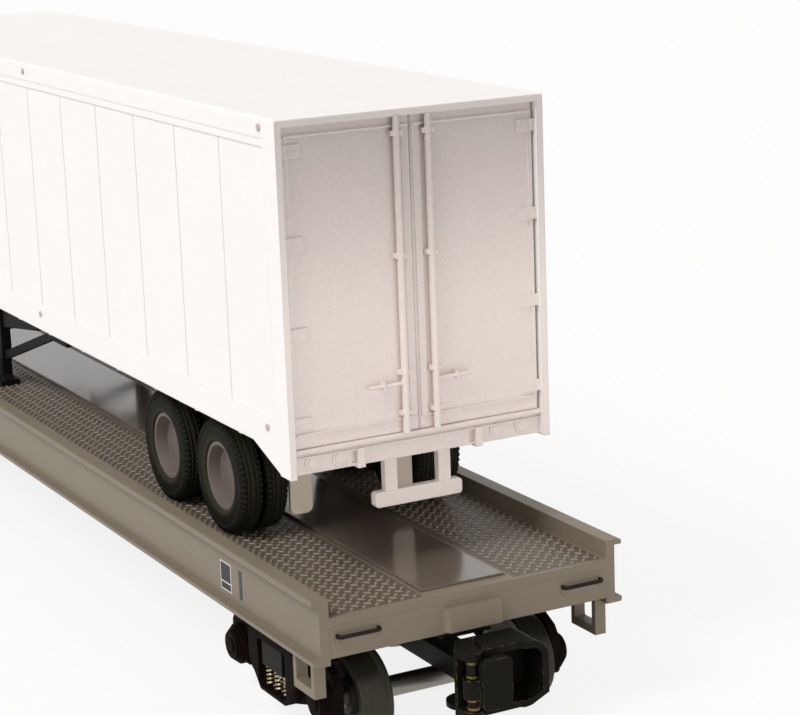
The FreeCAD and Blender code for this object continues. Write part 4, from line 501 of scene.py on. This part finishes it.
def wheel_metal(node):
    """A rail wheel's metal: dark faces, and a tread that the rails scrape round and round."""
    tint = colours()["wheel"]
    finish = Finish("metal_" + node, metallic=0.35, gloss=0.2)
    forward, across, up, out = wheel_place(finish, node)
    turn = finish.maths("ARCTAN2", up, forward)
    # Noise drawn out along the turn makes lines round the wheel, fine outward and across.
    round_it = finish.node(
        "ShaderNodeCombineXYZ", None, {0: turn * 0.6, 1: out * 1600.0, 2: across * 4200.0})
    lines = finish.node(
        "ShaderNodeTexNoise", None, {"Vector": round_it, "Scale": 1.0, "Detail": 4.0})
    tread = finish.ramp(out, *RAIL_TREAD)
    body = finish.mix(lines, scaled(tint, 0.75), scaled(tint, 1.2))
    body = finish.mix(tread * finish.ramp(lines, 0.45, 0.7) * 0.6, body, scaled(tint, 1.5))
    return finish.look(
        base_color=body,
        roughness=0.5 - tread * 0.14 + (lines - 0.5) * 0.2,
        normal=finish.bump(lines, 0.008 * MM, 0.5, finish.rounded(0.2 * MM)))


def rubber(name):
    """Tyre rubber of one axle, with an olive bead and fine rings on the sidewalls."""
    tint = colours()["rubber"]
    olive = scaled((tint[0] * 1.15, tint[1] * 1.05, tint[2] * 0.8), 3.4)
    finish = Finish("rubber_" + name, gloss=0.05)
    _, _, _, out = wheel_place(finish, "tyres_" + name)
    dust = finish.noise(2.4 * MM, 4.0)
    bead = finish.ramp(out, *TYRE_BEAD)
    edge = finish.ramp(out, *TYRE_SHOULDER)
    body = finish.mix(dust, scaled(tint, 0.75), scaled(tint, 1.3))
    body = finish.mix(bead * 0.7 + edge * 0.35, body, olive)
    rings = finish.maths("SINE", out * WALL_RINGS) * finish.ramp(out, *TYRE_WALL)
    grain = finish.noise(0.3 * MM, 2.0)
    return finish.look(
        base_color=body,
        roughness=0.62 - edge * 0.12 + (dust - 0.5) * 0.15,
        normal=finish.bump(rings * 0.3 + grain, 0.02 * MM, 0.5))


def rim_plastic(name):
    """The moulded rims: darker in the dish with painted shade, with a fine painted highlight on the
    step round it.
    """
    tint = colours()["rim"]

    def dish_tone(finish):
        """The rim's colour by its distance from the axle."""
        _, _, _, out = wheel_place(finish, "rims_" + name)
        flange = shaded(finish, scaled(tint, 1.08), 0.04, 5 * MM)
        # Painted shade in the recessed dish.
        body = finish.mix(finish.ramp(out, *RIM_DISH_SHADE) * 0.5, flange, scaled(tint, 0.72))
        # Painted highlight on the step round the dish.
        step = finish.band(out, RIM_STEP_HIGHLIGHT, 0.1 * MM, 0.12 * MM)
        return finish.mix(step * 0.6, body, scaled(tint, 1.7))

    return moulded("rim_plastic_" + name, tint, 0.5, 0.2 * MM, edge_highlight=0.3, gloss=0.3,
                   tone=dish_tone)


def spring_wire():
    """Bright spring wire, yellowed a little."""
    tint = colours()["spring"]
    finish = Finish("spring_wire", metallic=1.0)
    tarnish = finish.noise(0.8 * MM, 3.0)
    body = finish.mix(finish.ramp(tarnish, 0.35, 0.7), scaled(tint, 0.55), tint)
    return finish.look(base_color=body, roughness=0.18 + tarnish * 0.16)


def placard_paint(middle, half_wide, half_high):
    """Black blank placard with a white frame and one dividing line."""
    tint = colours()["placard"]
    white = (0.75, 0.73, 0.7, 1.0)
    line = 0.16 * MM
    finish = Finish("placard_paint")
    x, _, z = finish.parts(finish.place())
    up = z - middle.z
    lines = finish.band(up, -half_high * 0.42, line * 0.6, line * 0.3)
    for away, half in ((x - middle.x, half_wide), (up, half_high)):
        frame_line = finish.ramp(finish.maths("ABSOLUTE", away), half - line * 1.6, half - line)
        lines = finish.maths("MAXIMUM", lines, frame_line)
    dust = finish.noise(0.8 * MM, 3.0)
    body = finish.mix(dust, scaled(tint, 0.8), scaled(tint, 1.3))
    body = finish.mix(lines, body, white)
    return finish.look(base_color=body, roughness=0.5 + dust * 0.1)


def clothe(material, *nodes):
    """Give one material to nodes of the frame."""
    for name in nodes:
        mesh = NODES[name].data
        mesh.materials.clear()
        mesh.materials.append(material)


def piece(name, verts, faces, material, body, smooth=True):
    """Make a mesh piece that rides on a body."""
    mesh = bpy.data.meshes.new(name)
    mesh.from_pydata(verts, [], faces)
    mesh.validate()
    mesh.update()
    mesh.polygons.foreach_set("use_smooth", [smooth] * len(mesh.polygons))
    mesh.materials.append(material)
    thing = bpy.data.objects.new(name, mesh)
    bpy.context.scene.collection.objects.link(thing)
    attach(thing, body)
    return thing


class Stitcher:
    """Collects the vertices and faces of like small solids into one mesh."""

    def __init__(self):
        self.verts = []
        self.faces = []

    def rings(self, rings, closed=False, capped=True):
        """Skin a row of rings, each with as many points, and close its ends."""
        base = len(self.verts)
        size = len(rings[0])
        for ring in rings:
            self.verts.extend(ring)
        total = len(rings)
        for row in range(total if closed else total - 1):
            here, there = base + row * size, base + (row + 1) % total * size
            for index in range(size):
                after = (index + 1) % size
                self.faces.append((here + index, here + after, there + after, there + index))
        if capped and not closed:
            self.faces.append(tuple(base + index for index in reversed(range(size))))
            self.faces.append(tuple(base + (total - 1) * size + index for index in range(size)))


def equal_turns(steps):
    """The angles that divide a full turn into equal steps."""
    return [math.tau * step / steps for step in range(steps)]


def lug_rings(x, y, turn):
    """Three stacked outlines of one lozenge-shaped lug of the tread plate."""
    size = sizes()
    rings = []
    for spread, rise in LUG_PROFILE:
        ring = []
        for index, way in enumerate(equal_turns(LUG_SIDES)):
            waist = 1.0 if index % 4 == 2 else 0.9
            along = math.cos(way) * size.lug_long / 2 * spread
            across = math.sin(way) * size.lug_wide / 2 * spread * waist
            ring.append((x + along * math.cos(turn) - across * math.sin(turn),
                         y + along * math.sin(turn) + across * math.cos(turn),
                         DECK_Z + size.lug_high * rise))
        rings.append(ring)
    return rings


def tyre_stands(x, y):
    """Whether a tyre of the trailer stands on this spot of the deck."""
    return any(
        abs(x - (low.x + high.x) / 2) < TYRE_PATCH and high.y - PAIR_WIDE < abs(y) < high.y
        for low, high in TYRES.values())


def lug_grid():
    """The lugs' places, in two crossed directions, one set in the middle of the other's squares."""
    size = sizes()
    pitch = size.lug_pitch
    reach = BODY_HIGH.x - size.lug_border - size.lug_long * LUG_REACH
    near = STRIP_HIGH.y + size.lug_border * 0.6 + size.lug_long * LUG_REACH
    far = TREAD_END - size.lug_long * 0.4
    for turn, offset in ((math.radians(45), 0.0), (math.radians(-45), 0.5)):
        rows = int(far / pitch) + 1
        steps = int(reach / pitch) + 1
        for row in range(-rows, rows + 1):
            y = (row + offset) * pitch + LUG_SHIFT[1]
            for step in range(-steps, steps + 1):
                x = (step + offset) * pitch + LUG_SHIFT[0]
                if abs(x) < reach and near < abs(y) < far and not tyre_stands(x, y):
                    yield x, y, turn


def tyre_section():
    """Half section of one tyre in millimetres: across, out, and share of the cross grooves."""
    groove = sizes().tyre_groove / MM
    return [
        (0.0, 11.45, 0.0), (0.42, 11.45, 0.0), (0.46, 11.45 - groove, 0.0),
        (0.66, 11.45 - groove, 0.0), (0.7, 11.43, 0.0), (1.12, 11.42, 0.0),
        (1.16, 11.42 - groove, 0.0), (1.34, 11.42 - groove, 0.0), (1.38, 11.4, 1.0),
        (1.85, 11.3, 1.0), (2.1, 11.0, 1.0), (2.24, 10.62, 1.0), (2.3, 10.3, 0.6),
        (2.26, 10.2, 0.0), (2.33, 9.4, 0.0), (2.35, 8.6, 0.0), (2.32, 7.8, 0.0), (2.2, 7.2, 0.0),
        (2.1, 7.0, 0.0), (1.95, 6.85, 0.0),
    ]


def tyre_rings(middle, y):
    """Rings round one tyre, whose two rows of shoulder blocks stand half a block apart."""
    size = sizes()
    half = tyre_section()
    section = [(-across, out, depth) for across, out, depth in reversed(half[1:])] + half
    rings = []
    for step, turn in enumerate(equal_turns(size.tyre_blocks * BLOCK_STEPS)):
        ring = []
        for across, out, depth in section:
            shift = 0 if across < 0 else BLOCK_STEPS // 2
            low = (step + shift) % BLOCK_STEPS < BLOCK_STEPS // 2
            radius = out * MM - (size.tyre_groove * depth if low else 0.0)
            ring.append((middle.x + radius * math.cos(turn), y + across * MM,
                         middle.z + radius * math.sin(turn)))
        rings.append(ring)
    return rings


def coil_rings(x, y, low, high, radius):
    """Rings along the wire of one helical spring."""
    wire = sizes().spring_wire
    steps = sizes().spring_turns * COIL_STEPS
    rings = []
    for step in range(steps + 1):
        turn = math.tau * step / COIL_STEPS
        height = low + wire + (high - low - wire * 2) * step / steps
        ring = []
        for way in equal_turns(WIRE_SIDES):
            out = radius - wire + wire * math.cos(way)
            ring.append((x + out * math.cos(turn), y + out * math.sin(turn),
                         height + wire * math.sin(way)))
        rings.append(ring)
    return rings


def box_rings(low, high):
    """A box as two rings."""
    return [[(low.x, low.y, z), (high.x, low.y, z), (high.x, high.y, z), (low.x, high.y, z)]
            for z in (low.z, high.z)]


class Dressing(bpy.types.Operator):
    """Base of the steps that dress the model."""

    bl_options = {"REGISTER", "UNDO"}


class FLATCAR_OT_stage(Dressing):
    """Set up the floor, the light and the camera."""

    bl_idname = "flatcar.stage"
    bl_label = "Stage"

    def execute(self, context):
        stage = context.scene.flatcar_stage
        context.scene.view_settings.view_transform = "Standard"
        self.camera(context, stage)
        self.sky(context, stage)
        self.lamps(context, stage)
        self.floor(context)
        return {"FINISHED"}

    def camera(self, context, stage):
        """Stand the camera where it sees the car's corner."""
        data = bpy.data.cameras.new("camera")
        data.lens = stage.lens
        data.sensor_width = 36.0
        data.clip_start = 0.01
        camera = bpy.data.objects.new("camera", data)
        context.scene.collection.objects.link(camera)
        tilt = math.pi / 2 - stage.elevation
        camera.matrix_world = (
            Matrix.Translation(stage.place) @ Matrix.Rotation(stage.azimuth, 4, "Z")
            @ Matrix.Rotation(tilt, 4, "X") @ Matrix.Rotation(stage.roll, 4, "Z"))
        context.scene.camera = camera

    def sky(self, context, stage):
        """A soft light from all round, which the camera and mirrors see as white."""
        world = bpy.data.worlds.new("studio")
        world.use_nodes = True
        context.scene.world = world
        shader = Shader(world.node_tree)
        seen = self.seen(shader)
        tint = shader.mix(seen, (1.0, 0.965, 0.945, 1.0), (1.0, 1.0, 1.0, 1.0))
        background = world.node_tree.nodes["Background"]
        shader.feed(background.inputs["Color"], tint)
        shader.feed(background.inputs["Strength"], seen * (1.0 - stage.sky) + stage.sky)

    def seen(self, shader):
        """1 for rays from the camera, off a gloss or through glass."""
        kinds = [shader.node("ShaderNodeLightPath", output=name)
                 for name in ("Is Camera Ray", "Is Glossy Ray", "Is Transmission Ray")]
        return shader.maths("MINIMUM", kinds[0] + kinds[1] + kinds[2], 1.0)

    def lamps(self, context, stage):
        """A broad key light from above the near side and a low one before the doors."""
        sun = bpy.data.lights.new("key", "SUN")
        sun.energy = stage.key
        sun.angle = math.radians(24)
        self.hang(context, sun, KEY_WAY)
        glow = bpy.data.lights.new("fill", "AREA")
        glow.energy = stage.fill
        glow.size = 0.25
        low = self.hang(context, glow, FILL_WAY)
        low.location = FILL_PLACE
        low.visible_camera = False
        low.visible_glossy = False

    def hang(self, context, light, way):
        """Hang a light that shines from a direction."""
        lamp = bpy.data.objects.new(light.name, light)
        lamp.rotation_euler = way.to_track_quat("Z", "Y").to_euler()
        context.scene.collection.objects.link(lamp)
        return lamp

    def floor_paint(self):
        """A pale matt floor, which the camera and mirrors see as nearly white."""
        finish = Finish("floor")
        patch = finish.noise(60 * MM, 2.0)
        pale = finish.mix(patch, (0.9, 0.9, 0.9, 1.0), (0.93, 0.93, 0.93, 1.0))
        finish.look(base_color=pale, roughness=0.8)
        white = finish.node(
            "ShaderNodeEmission", None, {"Color": (1.0, 1.0, 1.0, 1.0), "Strength": 1.0})
        lit = Wire(finish, finish.surface.outputs[0])
        share = self.seen(finish) * 0.85
        blend = finish.node("ShaderNodeMixShader", None, {0: share, 1: lit, 2: white})
        finish.feed(finish.tree.nodes["Material Output"].inputs["Surface"], blend)
        return finish.material

    def floor(self, context):
        """A plain pale floor that keeps the car's shadow."""
        corners = [(x * FLOOR_REACH, y * FLOOR_REACH, 0.0)
                   for x, y in ((-1, -1), (1, -1), (1, 1), (-1, 1))]
        mesh = bpy.data.meshes.new("floor")
        mesh.from_pydata(corners, [], [(0, 1, 2, 3)])
        mesh.materials.append(self.floor_paint())
        floor = bpy.data.objects.new("floor", mesh)
        context.scene.collection.objects.link(floor)


class FLATCAR_OT_car_body(Dressing):
    """Finish the deck plate, the sills, the steps and the grab irons."""

    bl_idname = "flatcar.car_body"
    bl_label = "Car body"

    def execute(self, context):
        tints = colours()
        clothe(car_plastic(), "car_body", "end_sill_a", "end_sill_b", "stirrups_a", "stirrups_b")
        clothe(strip_plastic(), "deck_strip")
        wire = cast_metal("grab_wire", tints["wire"], tints["worn_edge"], 0.4, 0.4, 0.1, 0.1 * MM)
        clothe(wire, "grab_irons_a", "grab_irons_b")
        return {"FINISHED"}


class FLATCAR_OT_tread_plate(Dressing):
    """Raise the crossed lugs of the tread plate on the deck."""

    bl_idname = "flatcar.tread_plate"
    bl_label = "Tread plate"

    def execute(self, context):
        lugs = Stitcher()
        for x, y, turn in lug_grid():
            lugs.rings(lug_rings(x, y, turn), capped=False)
            above = len(lugs.verts)
            lugs.faces.append(tuple(range(above - LUG_SIDES, above)))
        piece("tread_lugs", lugs.verts, lugs.faces, lug_plastic(), "flatcar")
        return {"FINISHED"}


class FLATCAR_OT_placard(Dressing):
    """Fix the blank placard and the dark label strip to the side sill."""

    bl_idname = "flatcar.placard"
    bl_label = "Placard"

    def execute(self, context):
        size = sizes()
        half_wide, half_high = size.placard_wide / 2, size.placard_high / 2
        middle = Vector((
            BODY_HIGH.x - size.placard_inset,
            BODY_LOW.y + WEB_INSET,
            (BODY_LOW.z + BODY_HIGH.z) / 2 - 0.5 * MM))
        paint = placard_paint(middle, half_wide, half_high)
        self.plate("blank_placard", middle, half_wide, half_high, paint)
        beside = middle + Vector((half_wide + 4.2 * MM, 0.0, 0.0))
        dark = moulded("label_paint", scaled(colours()["placard"], 2.2), 0.5)
        self.plate("label_strip", beside, 0.6 * MM, half_high, dark)
        return {"FINISHED"}

    def plate(self, name, middle, half_wide, half_high, material):
        """Lay one thin plate on the sill's web."""
        thick = 0.06 * MM
        reach = Vector((half_wide, thick, half_high))
        plate = Stitcher()
        plate.rings(box_rings(middle - reach, middle + reach))
        piece(name, plate.verts, plate.faces, material, "flatcar", smooth=False)


class FLATCAR_OT_underframe(Dressing):
    """Finish the centre sill, the cross bearers, the brake gear and the pivot screws."""

    bl_idname = "flatcar.underframe"
    bl_label = "Underframe"

    def execute(self, context):
        tints = colours()
        black = cast_metal("underframe_black", tints["chassis"], tints["steel"], 0.5, 0.08, 0.12)
        clothe(black, "underframe", "cross_bearers", "brake_gear")
        clothe(plain_steel("screw_steel", tints["steel"]), "pivot_screw_a", "pivot_screw_b")
        return {"FINISHED"}


class FLATCAR_OT_trucks(Dressing):
    """Finish the trucks' side frames and bolsters."""

    bl_idname = "flatcar.trucks"
    bl_label = "Trucks"

    def execute(self, context):
        tints = colours()
        # The side frames carry a painted highlight along their edges.
        frames = moulded("truck_plastic", tints["truck"], 0.5, 0.25 * MM, 0.02 * MM, 0.6, 0.01)
        bolster = cast_metal("bolster_black", tints["bolster"], tints["steel"], 0.5, 0.12, 0.2)
        for end in ENDS:
            clothe(frames, *["side_frame_%s_%s" % (end, side) for side in ("left", "right")])
            clothe(bolster, "truck_bolster_" + end)
        return {"FINISHED"}


class FLATCAR_OT_springs(Dressing):
    """Wind the trucks' coil springs."""

    bl_idname = "flatcar.springs"
    bl_label = "Springs"

    def execute(self, context):
        wire = spring_wire()
        for end in ENDS:
            node = "springs_" + end
            low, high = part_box(node)
            radius = sizes().spring_radius
            middle = (low.x + high.x) / 2
            pitch = (high.x - low.x) / 2 - radius
            coils = Stitcher()
            for y in (low.y + radius, high.y - radius):
                for along in (-1, 0, 1):
                    coils.rings(coil_rings(middle + pitch * along, y, low.z, high.z, radius))
            made = piece(
                "coils_" + end, coils.verts, coils.faces, wire, "truck_" + end)
            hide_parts(node)
        return {"FINISHED"}


class FLATCAR_OT_wheelsets(Dressing):
    """Finish the rail wheels and their axles."""

    bl_idname = "flatcar.wheelsets"
    bl_label = "Wheelsets"

    def execute(self, context):
        steel = plain_steel("axle_steel", colours()["steel"])
        for name in AXLES:
            clothe(wheel_metal("wheels_" + name), "wheels_" + name)
            clothe(steel, "axle_" + name)
        return {"FINISHED"}


class FLATCAR_OT_couplers(Dressing):
    """Finish the couplers, their knuckles and pins."""

    bl_idname = "flatcar.couplers"
    bl_label = "Couplers"

    def execute(self, context):
        tints = colours()
        black = cast_metal(
            "coupler_black", tints["coupler"], tints["worn_edge"], 0.45, 0.3, 0.8, 0.22 * MM)
        for end in ENDS:
            clothe(black, "coupler_" + end, "knuckle_" + end, "armature_" + end)
            clothe(pin_metal("knuckle_pin_" + end), "knuckle_pin_" + end)
        return {"FINISHED"}


class FLATCAR_OT_trailer(Dressing):
    """Finish the trailer's shell, doors, rods, rear sill, bumper, flaps, floor and lamps."""

    bl_idname = "flatcar.trailer"
    bl_label = "Trailer"

    def execute(self, context):
        tints = colours()
        white = moulded("trailer_white", tints["trailer"], 0.38, 0.3 * MM, tone=shell_tone)
        clothe(white, "trailer_body", "trailer_floor")
        # The rear parts take the rear's painted shade, with a strong painted highlight along their
        # edges.
        rear = moulded("trailer_rear_painted_shade", tints["rear"], 0.4, 0.3 * MM, edge_highlight=0.9, tone=shaded_rear_tone)
        clothe(rear, "door_left", "door_right", "lock_rods", "rear_sill", "rear_bumper")
        self.bead(rear)
        clothe(moulded("flap_plastic", tints["flap"], 0.6, gloss=0.2), "mud_flaps")
        clothe(moulded("marker_plastic", tints["marker"], 0.3), "marker_lamps")
        return {"FINISHED"}

    def bead(self, material):
        """Close the joint between the doors with the half-round bead that is moulded there."""
        low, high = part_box("door_left")
        half = low.y + 0.05 * MM
        face, back = high.x - 0.6 * MM, high.x - 1.1 * MM
        arc = [math.pi * step / BEAD_STEPS for step in range(BEAD_STEPS + 1)]
        outline = [(face + half * math.sin(way), -half * math.cos(way)) for way in arc]
        outline += [(back, half), (back, -half)]
        strip = Stitcher()
        strip.rings([[(x, y, z) for x, y in outline] for z in (low.z, high.z)])
        piece("door_bead", strip.verts, strip.faces, material, "flatcar")


class FLATCAR_OT_chassis(Dressing):
    """Finish the trailer's suspension, landing gear and kingpin plate."""

    bl_idname = "flatcar.chassis"
    bl_label = "Chassis"

    def execute(self, context):
        # The chassis carries a painted highlight along its edges.
        black = moulded("chassis_black", colours()["chassis"], 0.48, edge_highlight=0.4, gloss=0.05)
        clothe(black, "trailer_bogie", "landing_gear", "kingpin_plate")
        return {"FINISHED"}


class FLATCAR_OT_road_wheels(Dressing):
    """Mould the trailer's tyres with their tread and finish their rims and axles."""

    bl_idname = "flatcar.road_wheels"
    bl_label = "Road wheels"

    def execute(self, context):
        steel = plain_steel("road_axle_steel", scaled(colours()["steel"], 0.6))
        for name in ROAD_AXLES:
            low, high = TYRES[name]
            middle = (low + high) / 2
            tyres = Stitcher()
            for side in (-1, 1):
                for inset in TYRE_MIDDLES:
                    rings = tyre_rings(middle, (high.y - inset) * side)
                    tyres.rings(rings, closed=True)
            made = piece(
                "tyre_tread_" + name, tyres.verts, tyres.faces, rubber(name),
                "road_wheels_" + name)
            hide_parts("tyres_" + name)
            clothe(rim_plastic(name), "rims_" + name)
            clothe(steel, "road_axle_" + name)
        return {"FINISHED"}


STEPS = (
    FLATCAR_OT_stage, FLATCAR_OT_car_body, FLATCAR_OT_tread_plate, FLATCAR_OT_placard,
    FLATCAR_OT_underframe, FLATCAR_OT_trucks, FLATCAR_OT_springs, FLATCAR_OT_wheelsets,
    FLATCAR_OT_couplers, FLATCAR_OT_trailer, FLATCAR_OT_chassis, FLATCAR_OT_road_wheels,
)
GROUPS = {
    "flatcar_colours": FlatcarColours,
    "flatcar_sizes": FlatcarSizes,
    "flatcar_stage": FlatcarStage,
}


class FLATCAR_PT_dressing(bpy.types.Panel):
    """Lists the steps that dress the model."""

    bl_label = "Flatcar"
    bl_space_type = "VIEW_3D"
    bl_region_type = "UI"
    bl_category = "Flatcar"

    def draw(self, context):
        for step in STEPS:
            self.layout.operator(step.bl_idname)


def register():
    """Make the settings, the steps and the panel known to Blender."""
    for name, group in GROUPS.items():
        bpy.utils.register_class(group)
        setattr(bpy.types.Scene, name, bpy.props.PointerProperty(type=group))
    for step in STEPS + (FLATCAR_PT_dressing,):
        bpy.utils.register_class(step)


def unregister():
    """Take them away again."""
    for step in (FLATCAR_PT_dressing,) + STEPS:
        bpy.utils.unregister_class(step)
    for name, group in GROUPS.items():
        delattr(bpy.types.Scene, name)
        bpy.utils.unregister_class(group)


def main():
    """Dress the model."""
    register()
    for step in STEPS:
        group, name = step.bl_idname.split(".")
        getattr(getattr(bpy.ops, group), name)()


if __name__ == "__main__":
    main()
